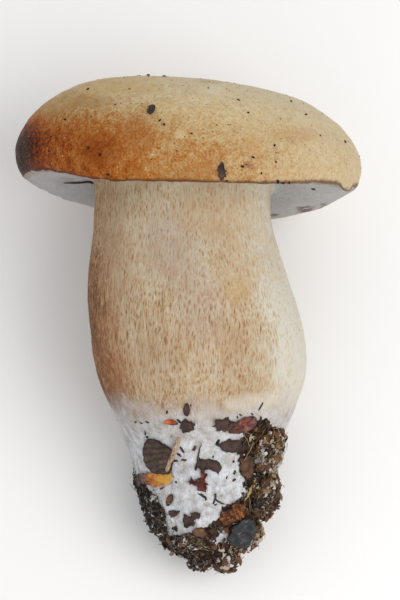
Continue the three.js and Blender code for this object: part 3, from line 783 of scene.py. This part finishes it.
# What the scraps are made of. tones run from the darkest to the lightest; streaks are how strongly they
# run along the scrap, and shine is the gloss of a wet or waxy surface.
scrapLooks = {
    "bark": {"tones": [(26, 18, 15), (52, 38, 31), (76, 57, 46), (104, 82, 66)], "streaks": 0.25,
             "rough": 0.62, "shine": 0.2, "grain": 0.7, "deep": 0.35},
    "darkLeaf": {"tones": [(30, 19, 18), (56, 37, 33), (78, 52, 44), (108, 78, 62)], "streaks": 0.3,
                 "rough": 0.6, "shine": 0.15, "grain": 0.45, "deep": 0.16},
    "brownLeaf": {"tones": [(42, 28, 20), (78, 54, 38), (106, 76, 52), (140, 104, 72)], "streaks": 0.25,
                  "rough": 0.75, "shine": 0.0, "grain": 0.45, "deep": 0.2},
    "rust": {"tones": [(30, 15, 15), (78, 30, 20), (124, 47, 25), (164, 86, 50)], "streaks": 0.6,
             "rough": 0.38, "shine": 0.9, "grain": 0.5, "deep": 0.12},
    "redLeaf": {"tones": [(34, 13, 11), (84, 22, 12), (130, 34, 14), (160, 66, 36)], "streaks": 0.3,
                "rough": 0.4, "shine": 0.4, "grain": 0.5, "deep": 0.12},
    "amber": {"tones": [(66, 36, 18), (140, 74, 20), (186, 116, 28), (206, 158, 62)], "streaks": 0.4,
              "rough": 0.45, "shine": 0.35, "grain": 0.6, "deep": 0.14, "across": 0.075},
    "orangeScale": {"tones": [(60, 26, 18), (150, 66, 22), (186, 92, 34), (204, 132, 70)], "streaks": 0.4,
                    "rough": 0.45, "shine": 0.3, "grain": 0.5, "deep": 0.1, "across": -0.12},
    "slate": {"tones": [(14, 14, 16), (32, 32, 35), (50, 51, 54), (92, 92, 92)], "streaks": 0.35,
              "rough": 0.6, "shine": 0.1, "grain": 0.5, "deep": 0.2},
    "rottenWood": {"tones": [(22, 15, 12), (42, 28, 20), (74, 43, 24), (150, 86, 36)], "streaks": 0.5,
                   "rough": 0.85, "shine": 0.0, "grain": 0.6, "deep": 0.4},
}


def scrapMaterial(name, look):
    material, tree, shader = newMaterial(name)
    flat, rim = attribute(tree, "flat"), attribute(tree, "rim", "Fac")
    patches, grain = cloud(tree, flat, 2.6, 3.0), cloud(tree, flat, 0.45, 3.0)
    lines = cloud(tree, scaled(tree, warped(tree, flat, 3.0, 0.5), 0.22, 1, 1), 0.34, 2.0)
    tone = 0.42 + (patches - 0.5) * 1.3 + (grain - 0.5) * look["grain"]
    tone = tone + (lines - 0.5) * look["streaks"] * 1.4
    tone = tone - rim.step(0.7, 0.0) * 0.22 + split(tree, flat)[0] * look.get("across", 0)
    # painted shade and highlight: lighter on the ridges and lumps, darker in the grooves between them
    tone = tone + attribute(tree, "high", "Fac") * 1.3
    colour = ramp(tree, tone.inside(), zip((0.05, 0.38, 0.66, 1.0), look["tones"]))
    wear(shader, "Base Color", colour)
    wear(shader, "Roughness", look["rough"] + (grain - 0.5) * 0.3)
    if look["shine"]:
        wear(shader, "Coat Weight", (patches - 0.35).inside() * look["shine"] * 2)
        wear(shader, "Coat Roughness", 0.3)
    wear(shader, "Specular IOR Level", 0.3)
    wear(shader, "Normal", bumped(tree, grain * 0.6 + lines * 0.8, look["deep"] * mm))
    return material


looks = {name: scrapMaterial(name, look) for name, look in scrapLooks.items()}
scrapPieces = [makeScrap(name, {**plainScrap, **scrap}, looks) for name, scrap in scraps.items()]
print("scraps:", len(scrapPieces))

# Straws, rootlets and the needle: wide and thick in mm, the ends as shares of the full width.
stalks = {
    "straw_left": {"wide": 1.7, "thick": 0.8, "ends": (0.8, 0.9), "ribs": 0.07, "stretch": 1.14,
        "shift": (-1.0, 0.5), "lift": 0.5, "straight": True, "look": "straw", "slot": "straw"},
    "rootlet_middle": {"wide": 0.5, "thick": 0.4, "ends": (1.6, 0.3), "ribs": 0.1, "look": "rootBark",
        "slot": "bark"},
    "rootlet_hook": {"wide": 0.6, "thick": 0.5, "ends": (0.3, 1.3), "ribs": 0.1, "look": "rootBark",
        "slot": "bark"},
    "grass_stalk": {"wide": 1.2, "thick": 0.5, "ends": (0.8, 0.4), "ribs": 0.18, "look": "grass",
        "slot": "straw"},
    "needle_under_cap": {"wide": 0.9, "thick": 0.6, "shift": (2.5, 0), "ends": (1.5, 0.6), "ribs": 0.08,
        "look": "rootBark", "slot": "bark"},
}


def centreLine(cadNode, count):    # the middle of a CAD stalk, from one end to the other
    points = pointsOf(everyone[cadNode].data)
    centred = points - points.mean(axis=0)
    along = centred @ np.linalg.svd(centred, full_matrices=False)[2][0]
    order = np.argsort(along)
    line = np.array([points[part].mean(axis=0) for part in np.array_split(order, count)])
    return line if lyingToGrown @ Vector(line[0]) < lyingToGrown @ Vector(line[-1]) else line[::-1]


def smoothLine(line, count):
    place = np.linspace(0, len(line) - 1, count)
    line = np.array([np.interp(place, np.arange(len(line)), line[:, i]) for i in range(3)]).T
    for _ in range(8):
        line[1:-1] = (line[:-2] + 2 * line[1:-1] + line[2:]) / 4
    return line


# A thin tube: a grid rolled round a line. outs are the directions away from the flesh.
def rolledTube(name, line, outs, wide, thick, ends, ribs, sides, seed):
    steps = len(line)
    tube = addGrid(name, sides, steps - 1)
    flat = pointsOf(tube.data)[:, :2] + 0.5
    share, turn = flat[:, 1], flat[:, 0] * 2 * math.pi
    at = np.clip(np.rint(share * (steps - 1)).astype(int), 0, steps - 1)
    onward = np.gradient(line, axis=0)
    onward /= np.linalg.norm(onward, axis=1)[:, None]
    sideways = np.cross(onward, outs)
    sideways /= np.linalg.norm(sideways, axis=1)[:, None]
    outward = np.cross(sideways, onward)
    first, last = ends
    swell = 1 + (first - 1) * np.clip(1 - share * 3.2, 0, 1) ** 1.5
    swell = swell + (last - 1) * np.clip(share * 3.2 - 2.2, 0, 1)
    swell = swell * np.clip(np.minimum(share, 1 - share) * steps * 0.7 + 0.12, 0, 1) ** 0.5
    swell = swell * (1 + ribs * np.sin(5 * turn + 2 * share) + 0.4 * ribs * np.sin(17 * share + seed))
    placed = line[at] + sideways[at] * (np.cos(turn) * swell * wide / 2 * mm)[:, None]
    placed = placed + outward[at] * (np.sin(turn) * swell * thick / 2 * mm)[:, None]
    length = np.linalg.norm(np.diff(line, axis=0), axis=1).sum() / mm
    keepVector(tube.data, "flat", np.c_[turn * wide / 2, share * length, np.full(len(turn), seed * 3.1)])
    placePoints(tube.data, placed)
    onlySelect(tube)
    editing()
    bpy.ops.mesh.remove_doubles(threshold=1e-6)
    bpy.ops.mesh.select_all(action="DESELECT")
    bpy.ops.mesh.select_non_manifold(extend=False)
    bpy.ops.mesh.fill_holes(sides=sides)
    bpy.ops.mesh.select_all(action="SELECT")
    bpy.ops.mesh.normals_make_consistent(inside=False)
    doneEditing()
    bpy.ops.object.shade_smooth()
    return tube


def stalkMaterial(name, tones):
    material, tree, shader = newMaterial(name)
    flat = attribute(tree, "flat")
    lines = cloud(tree, scaled(tree, flat, 1, 0.08, 1), 0.16, 3.0)
    patches = cloud(tree, flat, 1.8, 3.0)
    tone = (0.5 + (lines - 0.5) * 2.4 + (patches - 0.5) * 1.2).inside()
    colour = ramp(tree, tone, zip((0.05, 0.5, 0.95), tones))
    wear(shader, "Base Color", colour)
    wear(shader, "Roughness", 0.6 + (lines - 0.5) * 0.3)
    wear(shader, "Specular IOR Level", 0.3)
    wear(shader, "Normal", bumped(tree, lines, 0.12 * mm))
    return material


stalkLooks = {
    "straw": stalkMaterial("dryStraw", [(84, 60, 46), (166, 136, 108), (202, 182, 156)]),
    "rootBark": stalkMaterial("rootBark", [(24, 16, 14), (52, 36, 30), (92, 66, 52)]),
    "grass": stalkMaterial("dryGrass", [(98, 78, 34), (176, 154, 88), (218, 206, 152)]),
}
for seed, (name, stalk) in enumerate(stalks.items()):
    shiftX, shiftZ = stalk.get("shift", (0, 0))
    line = smoothLine(centreLine(name, 9), 28) + np.array(direction(shiftX, 0, shiftZ))
    outs = []
    for i, point in enumerate(line):
        place, out = fleshTree.find_nearest(Vector(point))[:2]
        line[i] = place + out * (stalk["thick"] / 2 + 0.1 + stalk.get("lift", 0)) * mm
        outs.append(np.array(out))
    if stalk.get("straight"):    # a chord, raised until it clears the flesh
        along = 0.5 + np.linspace(-0.5, 0.5, len(line))[:, None] * stalk["stretch"]
        chord = line[0] + along * (line[-1] - line[0])
        line = chord + outs[14] * np.maximum(((line - chord) @ outs[14]).max(), 0)
    tube = rolledTube(name + "Piece", line, np.array(outs), stalk["wide"], stalk["thick"], stalk["ends"],
                      stalk["ribs"], 12, seed)
    finished(tube, stalkLooks[stalk["look"]], [name])
print("stalks:", len(stalks))

# Soil: each cake of the CAD is softened, then broken into crumbs.
soil = {
    "grain": 0.4,        # voxel of the remeshed cake, mm
    "soften": 6,         # smoothing steps, which round the cake's edges down to the flesh
    "crumb": 1.5,        # size of the crumbs, mm
    "rise": 0.55,        # how far they stand out, mm
    "cakes": ["soil_left", "soil_front", "soil_right_upper", "soil_right_middle", "soil_right_low",
              "soil_right_back", "soil_back", "soil_back_left", "clod_tip_left", "clod_tip_right"],
}


def soilGroup():
    tree = reliefTree("soilCrumbs")
    inMm = scaled(tree, node(tree, "GeometryNodeInputPosition"), *perMm)
    bent = warped(tree, inMm, 3.0, 0.7)
    lumps = cells(tree, bent, soil["crumb"]).step(0.75, 0.1) * 0.7
    lumps = lumps + cells(tree, shifted(tree, bent, 5, 3, 1), soil["crumb"] * 0.45).step(0.8, 0.1) * 0.3
    rise = (lumps - 0.45) * soil["rise"] + (cloud(tree, inMm, 4.5) - 0.5) * 1.3
    return settle(tree, raised(tree, rise))


def soilMaterial():
    material, tree, shader = newMaterial("humus")
    place = scaled(tree, node(tree, "ShaderNodeTexCoord", None, None, 3), *perMm)
    bent = warped(tree, place, 3.0, 0.7)
    crumb = cells(tree, bent, soil["crumb"], output=1)
    pick = split(tree, crumb)[0]
    patches, grain = cloud(tree, place, 5.0, 3.0), cloud(tree, place, 0.5, 3.0)
    right = split(tree, place)[0].step(-2, 16)
    tone = (pick * 0.5 + 0.12 + right * 0.22 + (patches - 0.5) * 0.9 + (grain - 0.5) * 0.7).inside()
    colour = ramp(tree, tone, [
        (0.0, (16, 13, 12)), (0.35, (38, 29, 24)), (0.6, (66, 49, 38)), (0.8, (96, 74, 56)),
        (1.0, (138, 120, 98))])
    threads = cells(tree, warped(tree, place, 2.0, 0.8), 2.4, "DISTANCE_TO_EDGE").step(0.07, 0.0)
    white = (cloud(tree, shifted(tree, place, 9, 4, 2), 3.2, 3.0)).step(0.57, 0.65)
    colour = mixed(tree, (white + threads * 0.5 * patches).inside(), colour, paint(196, 192, 184))
    wear(shader, "Base Color", colour)
    wear(shader, "Roughness", 0.85 + (grain - 0.5) * 0.2)
    wear(shader, "Specular IOR Level", 0.2)
    wear(shader, "Normal", bumped(tree, grain + cloud(tree, place, 0.2, 2.0) * 0.5, 0.3 * mm))
    return material


humus, crumbling = soilMaterial(), soilGroup()
soilPieces = []
for name in soil["cakes"]:
    cake = copyOf(name, name + "Piece")
    modify(cake, "REMESH", mode="VOXEL", voxel_size=soil["grain"] * mm)
    modify(cake, "SMOOTH", iterations=soil["soften"], factor=0.6)
    modify(cake, "NODES", node_group=crumbling)
    bpy.ops.object.shade_smooth()
    finished(cake, humus, [name])
    soilPieces.append(cake)
print("soil:", len(soilPieces), "cakes,", sum(len(o.data.polygons) for o in soilPieces), "faces")


# Small litter: a few shapes are modelled once, about 2 across and in any unit, then copied many times.
def shapeOf(o):
    shape = pointsOf(o.data), [f.vertices[:] for f in o.data.polygons]
    bpy.data.objects.remove(o)
    return shape


def crumbShape(seed, flat=0.8, steps=2):
    bpy.ops.object.select_all(action="DESELECT")
    bpy.ops.mesh.primitive_ico_sphere_add(subdivisions=steps, radius=1)
    crumb = bpy.context.active_object
    points = pointsOf(crumb.data)
    lumps = np.sin(points @ [3.1, 1.7, 2.3] + seed) * np.sin(points @ [-1.9, 2.9, 1.3] + 2 * seed)
    points = points * (1 + 0.3 * lumps + 0.12 * np.sin(points @ [5, -6, 4] + 3 * seed))[:, None]
    placePoints(crumb.data, points * [1, 0.85, flat])
    return shapeOf(crumb)


def flakeShape(seed):
    flake = addGrid("flake", 4, 4)
    points = pointsOf(flake.data)
    x, y = points[:, 0], points[:, 1]
    angle, reach = np.arctan2(y, x), np.maximum(np.abs(x), np.abs(y)) * 2
    outline = reach * (1 + 0.22 * np.sin(3 * angle + seed) + 0.13 * np.sin(5 * angle + 2 * seed))
    x, y = outline * np.cos(angle), outline * np.sin(angle) * 0.75
    bend = 0.3 * np.sin(x * 1.6 + seed) + 0.22 * y ** 2 * math.sin(seed) + 0.12 * np.sin(3 * y + seed)
    placePoints(flake.data, np.c_[x, y, bend])
    modify(flake, "SOLIDIFY", thickness=0.14, offset=0.0)
    return shapeOf(flake)


def chipShape(seed):
    bpy.ops.object.select_all(action="DESELECT")
    bpy.ops.mesh.primitive_cube_add(size=1)
    chip = bpy.context.active_object
    editing()
    bpy.ops.mesh.subdivide(number_cuts=1)
    doneEditing()
    points = pointsOf(chip.data)
    points = points + 0.13 * np.sin(points[:, [1, 2, 0]] * 9 + np.array([seed, 2 * seed, 3 * seed]))
    points *= [0.7, 1.9, 0.45]
    points[:, 0] *= 1 - 0.28 * np.abs(points[:, 1])
    placePoints(chip.data, points)
    return shapeOf(chip)


def fibreShape(seed, thin):
    place = np.linspace(-1, 1, 9)
    sway = 0.22 * np.sin(place * 2.2 + seed) + 0.1 * np.sin(place * 5 + 2 * seed)
    arch = 0.16 * (1 - place ** 2) * math.sin(seed * 1.3) ** 2
    line = np.c_[sway, place, arch]
    outs = np.tile([0.0, 0, 1], (9, 1))
    return shapeOf(rolledTube("fibre", line, outs, thin / mm, thin / mm, (1.0, 0.5), 0.05, 5, seed))


def copiesOf(name, shapes, spots, material):
    points, faces, tones, flats, first = [], [], [], [], 0
    for i, (place, out, spin, tip, size, tone) in enumerate(spots):
        shapePoints, shapeFaces = shapes[i % len(shapes)]
        out = Vector(out)
        side = out.orthogonal().normalized()
        turn = Matrix.Rotation(spin, 3, out) @ Matrix((side, out.cross(side), out)).transposed()
        turn = np.array(turn @ Matrix.Rotation(tip, 3, "X"))
        made = (shapePoints * size) @ turn.T * mm + np.array(place)
        points.append(made)
        faces += [tuple(first + v for v in f) for f in shapeFaces]
        tones.append(np.full(len(made), tone))
        flats.append(shapePoints * size + [0, 0, i * 1.37])
        first += len(made)
    points = np.concatenate(points)
    points[:, 2] = np.maximum(points[:, 2], 0.0001)
    mesh = bpy.data.meshes.new(name)
    mesh.from_pydata(points.tolist(), [], faces)
    keepValue(mesh, "tone", np.concatenate(tones))
    keepVector(mesh, "flat", np.concatenate(flats))
    made = bpy.data.objects.new(name, mesh)
    bpy.context.scene.collection.objects.link(made)
    onlySelect(made)
    bpy.ops.object.shade_smooth()
    finished(made, material, ())
    print(name + ":", len(spots), "copies,", len(mesh.polygons), "faces")
    return made


def litterMaterial(name, tones, rough=0.8, shine=0.0, spread=0.35):    # tones are stops of place and colour
    material, tree, shader = newMaterial(name)
    flat, tone = attribute(tree, "flat"), attribute(tree, "tone", "Fac")
    patches, grain = cloud(tree, flat, 1.1, 3.0), cloud(tree, flat, 0.3, 2.0)
    colour = ramp(tree, (tone + (patches - 0.5) * 0.16).inside(), tones)
    shade = ((grain - 0.5) * spread * 2 + (patches - 0.5) * spread + 0.5).inside()
    shadow = ramp(tree, shade, [(0.0, (70, 66, 62)), (0.5, (188, 188, 188)), (1.0, (255, 255, 255))])
    colour = mixed(tree, 0.6, colour, shadow, "MULTIPLY")
    wear(shader, "Base Color", colour)
    wear(shader, "Roughness", rough + (grain - 0.5) * 0.2)
    if shine:
        wear(shader, "Coat Weight", (patches - 0.4).inside() * shine)
        wear(shader, "Coat Roughness", 0.35)
    wear(shader, "Specular IOR Level", 0.25)
    wear(shader, "Normal", bumped(tree, grain, 0.12 * mm))
    return material


crumbTones = litterMaterial("soilCrumbs", [
    (0.0, (20, 16, 14)), (0.3, (46, 35, 28)), (0.5, (74, 54, 40)), (0.68, (104, 74, 50)),
    (0.82, (150, 122, 88)), (0.93, (196, 186, 168)), (1.0, (122, 122, 122))])
flakeTones = litterMaterial("leafFlakes", [
    (0.0, (36, 26, 23)), (0.2, (70, 50, 41)), (0.38, (96, 62, 46)), (0.52, (116, 70, 42)),
    (0.66, (154, 118, 82)), (0.8, (194, 174, 138)), (0.92, (212, 204, 184)),
    (1.0, (118, 114, 110))], 0.6, 0.5)
fibreTones = litterMaterial("rootFibres", [
    (0.0, (40, 28, 22)), (0.3, (92, 64, 42)), (0.55, (150, 108, 58)), (0.75, (178, 158, 96)),
    (1.0, (216, 204, 164))], 0.7)
threadTones = litterMaterial("whiteThreads", [
    (0.0, (196, 192, 186)), (0.5, (220, 219, 217)), (1.0, (236, 237, 238))], 0.9, 0.0, 0.12)

crumbShapes = [crumbShape(seed) for seed in (1, 2, 3, 4, 5)]
grainShapes = [crumbShape(seed, 0.8, 1) for seed in (6, 7, 8, 9)]
flakeShapes = [flakeShape(seed) for seed in (1, 2.2, 3.4, 4.1, 5.3)]
chipShapes = [chipShape(seed) for seed in (1, 2, 3)]
fibreShapes = [fibreShape(seed, 0.05) for seed in (0.5, 1.7, 2.9, 4.2)]
threadShapes = [fibreShape(seed, 0.03) for seed in (0.9, 2.1, 3.6, 5.0)]
tuftShapes = [crumbShape(seed, 0.5) for seed in (10, 11, 12)]


def facesOf(o):    # middles, normals and areas of the faces
    mesh, count = o.data, len(o.data.polygons)
    middles, normals, areas = np.empty(count * 3), np.empty(count * 3), np.empty(count)
    mesh.polygons.foreach_get("center", middles)
    mesh.polygons.foreach_get("normal", normals)
    mesh.polygons.foreach_get("area", areas)
    return middles.reshape(-1, 3), normals.reshape(-1, 3), areas


litterTop = 62    # height of the highest small litter on the foot, mm
capBottom = 136    # height above which there are specks on the cap, mm


# Where small litter may lie: the open side of the soil, and the flesh around it.
class Ground:
    def __init__(self, middles, normals, areas, seed):
        self.middles, self.normals, self.areas = middles, normals, areas
        self.grown = toGrown(middles)
        self.chance = np.random.RandomState(seed)

    # share is the weight of each face; size, in mm, and tones are each the least and the most
    def spots(self, count, share, size, tones, tip=0.35, lift=0.0):
        weight = self.areas * share
        picks = self.chance.choice(len(weight), count, p=weight / weight.sum())
        made = []
        low, high = size
        for pick in picks:
            reach = low + (high - low) * self.chance.rand() ** 2
            stretch = np.array([1, 0.75 + 0.5 * self.chance.rand(), 1]) * reach
            out = self.normals[pick]
            place = self.middles[pick] + out * (lift + 0.1 * reach) * mm
            x, z = self.grown[pick, 0], self.grown[pick, 2]
            dark = np.clip(0.5 + (x + 10) / 16, 0.3, 1)    # the soil is darker at the left and low down
            dark = dark * np.interp(z, (12, 17, 26, 34), (1, 0.7, 0.7, 1))
            tone = tones[0] + (tones[1] - tones[0]) * self.chance.rand() * dark
            made.append((place, out, self.chance.rand() * 6.28, self.chance.normal() * tip, stretch, tone))
        return made


soilParts = zip(*[facesOf(o) for o in soilPieces])
soilMiddles, soilNormals, soilAreas = (np.concatenate(part) for part in soilParts)
fleshOuts = np.array([fleshTree.find_nearest(Vector(p))[1][:] for p in soilMiddles])
openSide = (np.einsum("ij,ij->i", soilNormals, fleshOuts) > 0.15) & (soilMiddles[:, 2] > 0.0006)
soilGround = Ground(soilMiddles[openSide], soilNormals[openSide], soilAreas[openSide], 11)

fleshMiddles, fleshNormals, fleshAreas = facesOf(body)
fleshGrown = toGrown(fleshMiddles)
low = fleshGrown[:, 2] < litterTop
fleshGround = Ground(fleshMiddles[low], fleshNormals[low], fleshAreas[low], 12)


def treeOfAll(objects):
    together = bmesh.new()
    for o in objects:
        together.from_mesh(o.data)
    tree = BVHTree.FromBMesh(together)
    together.free()
    return tree


soilTree, scrapTree = treeOfAll(soilPieces), treeOfAll(scrapPieces)
toSoil = np.array([soilTree.find_nearest(Vector(p))[3] for p in fleshGround.middles]) / mm
aboveFloor = fleshGround.middles[:, 2] > 0.001
onScraps = np.array([scrapTree.find_nearest(Vector(p))[3] for p in fleshGround.middles]) < 1.0 * mm
bareFlesh = aboveFloor & ~onScraps
bareSoil = np.array([scrapTree.find_nearest(Vector(p))[3] for p in soilGround.middles]) > 1.5 * mm


def blend(values, low, high):
    return np.clip((values - low) / (high - low), 0, 1)


sx, sy, sz = soilGround.grown.T
fx, fy, fz = fleshGround.grown.T
soilRight, fleshRight = blend(sx, 2, 16), blend(fx, 2, 16)
soilBack, fleshBack = blend(sy, 2, 12), blend(fy, 2, 12)
soilRich = bareSoil * (0.12 + soilRight + 0.4 * soilBack)
fleshSoiled = soiledFlesh(fleshGround.grown) * bareFlesh
fleshRich = fleshSoiled * (0.15 + fleshRight + 0.4 * fleshBack)
nearSoil = (np.exp(-(toSoil / 1.6) ** 2) + 0.8 * fleshSoiled) * bareFlesh
strewn = bareFlesh * blend(fz, 50, 40) * np.exp(-(toSoil / 7) ** 2)
copiesOf("soilCrumbsOnSoil", crumbShapes,
         soilGround.spots(700, bareSoil * 1.0, (0.25, 0.8), (0.0, 0.75))
         + fleshGround.spots(650, fleshSoiled, (0.25, 0.8), (0.0, 0.75)), crumbTones)
copiesOf("soilGrains", grainShapes,
         soilGround.spots(1300, bareSoil * 1.0, (0.12, 0.4), (0.0, 1.0))
         + fleshGround.spots(1700, nearSoil, (0.1, 0.42), (0.0, 0.85))
         + fleshGround.spots(160, strewn, (0.08, 0.3), (0.0, 0.5)), crumbTones)
copiesOf("leafFlakes", flakeShapes,
         soilGround.spots(760, soilRich, (0.4, 2.0), (0.05, 1.0), 0.5, 0.15)
         + fleshGround.spots(480, fleshRich, (0.4, 2.0), (0.05, 1.0), 0.45, 0.25)
         + fleshGround.spots(26, strewn, (0.5, 1.3), (0.0, 0.5), 0.15, 0.1), flakeTones)
copiesOf("rottenChips", chipShapes,
         soilGround.spots(220, soilRich + 0.2 * bareSoil, (0.4, 1.2), (0.0, 0.8), 0.3, 0.1)
         + fleshGround.spots(150, fleshRich, (0.4, 1.3), (0.0, 0.8), 0.3, 0.15), flakeTones)
copiesOf("rootFibres", fibreShapes,
         soilGround.spots(420, soilRich + 0.1 * bareSoil, (1.2, 4.0), (0.3, 1.0), 0.12, 0.4)
         + fleshGround.spots(320, fleshRich + 0.06 * fleshSoiled, (1.2, 3.8), (0.3, 1.0), 0.1, 0.45),
         fibreTones)
copiesOf("whiteFlecks", flakeShapes,
         soilGround.spots(200, soilRich * (0.4 + blend(sz, 62, 20)), (0.3, 1.5), (0.0, 0.8), 0.3, 0.15)
         + fleshGround.spots(130, fleshRich, (0.3, 1.5), (0.0, 0.8), 0.3, 0.15), threadTones)
copiesOf("whiteTufts", tuftShapes,
         soilGround.spots(150, bareSoil * (0.1 + soilRight), (0.25, 0.9), (0.3, 1.0), 0.3, 0.05),
         threadTones)
copiesOf("feltThreads", threadShapes,
         fleshGround.spots(1100, bareFlesh * (1 - 0.8 * fleshSoiled) * blend(fz, 50, 36), (0.7, 2.6),
                           (0.2, 1.0), 0.05, 0.02), threadTones)

# Bits that lie by themselves on the foot: x and z in mm, half the length, half the width, spin, tone.
footBits = [
    (-18.6, 53.4, 0.8, 0.3, 80, 0.3), (-16.6, 53.2, 0.9, 0.28, 95, 0.25), (-14.4, 53.6, 0.7, 0.3, 100, 0.2),
    (-15.2, 49.6, 0.7, 0.35, 20, 0.05), (-14.6, 48.4, 0.6, 0.4, 70, 0.05), (-7.7, 57.2, 0.5, 0.35, 10, 0.1),
    (0.4, 59.6, 0.35, 0.2, 10, 0.05), (-3.6, 54.2, 0.8, 0.4, -40, 0.0), (-2.6, 44.2, 1.1, 0.4, -35, 0.05),
    (-3.6, 42.4, 0.8, 0.4, -50, 0.1), (-1.8, 40.7, 0.9, 0.35, 90, 0.05), (-4.6, 40.4, 0.7, 0.4, 80, 0.15),
    (1.5, 44.7, 0.9, 0.6, 30, 0.45), (7.9, 41.8, 0.35, 0.3, 0, 0.05), (9.5, 46.9, 0.9, 0.55, 20, 0.05),
    (15.3, 36.2, 0.7, 0.4, 30, 0.3), (15.0, 33.6, 0.7, 0.5, 60, 0.3), (24.2, 59.0, 1.3, 0.32, 22, 0.15),
    (17.3, 56.1, 0.5, 0.3, -50, 0.3), (16.2, 55.4, 0.4, 0.3, -30, 0.3), (21.2, 56.4, 0.5, 0.3, -60, 0.35),
    (-4.7, 32.9, 0.4, 0.35, 0, 0.1), (8.3, 26.3, 0.9, 0.4, 15, 0.1), (8.9, 25.2, 0.5, 0.35, 60, 0.15),
    (12.6, 34.6, 0.5, 0.25, 20, 0.1), (3.3, 41.3, 0.3, 0.2, 0, 0.1), (19.6, 30.6, 0.5, 0.4, 40, 0.1),
    (-9.6, 30.6, 0.7, 0.4, 60, 0.3), (4.2, 28.4, 1.2, 0.45, -60, 0.05), (5.4, 27.4, 0.6, 0.4, -20, 0.05),
]


def laidBits(bits, thick=0.5):
    made = []
    for x, z, length, wide, spin, tone in bits:
        spot = Spot(inFront(x, z))
        toUp = spot.out.orthogonal().normalized()
        turn = math.atan2(spot.out.dot(toUp.cross(spot.up)), toUp.dot(spot.up)) - math.pi / 2
        made.append((spot.place + spot.out * 0.1 * mm, spot.out, turn - math.radians(spin), 0.0,
                     np.array([wide * 2.8, length * 1.05, wide * thick * 2.4]), tone))
    return made


copiesOf("footBits", chipShapes, laidBits(footBits), flakeTones)

# Grit and dried specks on the cap: x and z in mm, and the size; the rest is strewn at random.
capGrit = [
    (-17.5, 172.6, 0.8), (-14.3, 172.3, 0.65), (-8.7, 171.7, 0.6), (-42, 156.1, 0.5), (-47.6, 145.6, 0.45),
    (-33.6, 145.9, 0.55), (-29.7, 143.5, 0.6), (-9.8, 154.7, 0.5), (-8.4, 153.3, 0.5), (-34.6, 166.9, 0.6),
    (-20.3, 166.2, 0.35), (16.4, 162.4, 0.5), (34.6, 163.1, 0.55), (39.5, 158.2, 0.5), (19.6, 157.8, 0.45),
    (21, 142.4, 0.55), (28.3, 146.6, 0.5), (28.7, 141, 0.45), (17.5, 139.3, 0.55), (23.8, 137.2, 0.45),
    (53.2, 149.4, 0.6), (6.3, 166.6, 0.4), (-24.8, 160.6, 0.35), (0.7, 150.2, 0.4), (44.1, 150.8, 0.4),
    (-47, 150.4, 0.35), (12.4, 134.6, 0.45), (29.4, 134.6, 0.7), (31.1, 134.2, 0.6), (42.8, 133.8, 0.7),
    (-26.9, 136.9, 0.6), (33.2, 134.3, 0.5),
]
chance = np.random.RandomState(21)
grit = []
for x, z, reach in capGrit:
    spot = Spot(inFront(x, z))
    grit.append((spot.place + spot.out * reach * 0.25 * mm, spot.out, chance.rand() * 6.28, 0.2,
                 np.array([1, 0.8, 0.7]) * reach, chance.rand() * 0.4))
copiesOf("capGrit", crumbShapes, grit, crumbTones)
onCap = (fleshGrown[:, 2] > capBottom) & (fleshNormals @ np.array(stemUp) > -0.1)
capGround = Ground(fleshMiddles[onCap], fleshNormals[onCap], fleshAreas[onCap], 22)
copiesOf("capSpecks", grainShapes,
         capGround.spots(420, (capGround.middles[:, 2] > 0.001) * 1.0, (0.08, 0.3), (0.0, 0.55), 0.2),
         crumbTones)

studio = {
    "distance": 0.9,       # camera to the stem, m
    "frameTall": 0.21,     # height of the picture at the stem, m
    "aim": (3.5, 95.2),    # grown x and z in the middle of the picture
    "floorTone": (240, 240, 240),
    "air": 0.74,           # strength of the light from all round
    "lamps": {             # where each is, its size in m, its power in W and its tint
        "key": {"at": (0.62, -0.3, 0.9), "size": 0.8, "watts": 6.6, "tint": (1.0, 0.98, 0.95)},
        "fill": {"at": (0.1, -0.8, 0.9), "size": 0.8, "watts": 1.2, "tint": (0.95, 0.97, 1.0)},
    },
}


def aim(o, target):
    o.rotation_mode = "QUATERNION"
    o.rotation_quaternion = (target - o.location).to_track_quat("-Z", "Y")


def makeStudio():
    eye = bpy.data.cameras.new("camera")
    camera = bpy.data.objects.new("camera", eye)
    bpy.context.scene.collection.objects.link(camera)
    aimX, aimZ = studio["aim"]
    camera.location = lying(aimX, -studio["distance"] / mm, aimZ)
    aim(camera, lying(aimX, 0, aimZ))
    eye.sensor_width = 36
    eye.lens = 36 * studio["distance"] / studio["frameTall"]
    eye.clip_start, eye.clip_end = 0.05, 20
    bpy.context.scene.camera = camera

    bpy.ops.object.select_all(action="DESELECT")
    bpy.ops.mesh.primitive_plane_add(size=8, location=(0, 0, 0))
    floor = bpy.context.active_object
    floor.name = "studioFloor"
    material, tree, shader = newMaterial("paleFloor")
    wear(shader, "Base Color", paint(*studio["floorTone"]))
    wear(shader, "Roughness", 0.75)
    floor.data.materials.append(material)
    floor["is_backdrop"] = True

    for name, lamp in studio["lamps"].items():
        light = bpy.data.lights.new(name, "AREA")
        light.energy, light.size, light.color = lamp["watts"], lamp["size"], lamp["tint"]
        lampObject = bpy.data.objects.new(name, light)
        bpy.context.scene.collection.objects.link(lampObject)
        lampObject.location = lamp["at"]
        aim(lampObject, Vector((0, 0, 0.04)))

    world = bpy.data.worlds.new("studioAir")
    bpy.context.scene.world = world
    world.use_nodes = True
    sky = world.node_tree.nodes["Background"]
    sky.inputs["Color"].default_value = (1, 1, 1, 1)
    sky.inputs["Strength"].default_value = studio["air"]
    bpy.context.scene.view_settings.view_transform = "Standard"


makeStudio()


def corners(pair):
    return [[round(float(v), 6) for v in corner] for corner in pair]


{"cad": corners(cadBox), "visual": corners(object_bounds())}
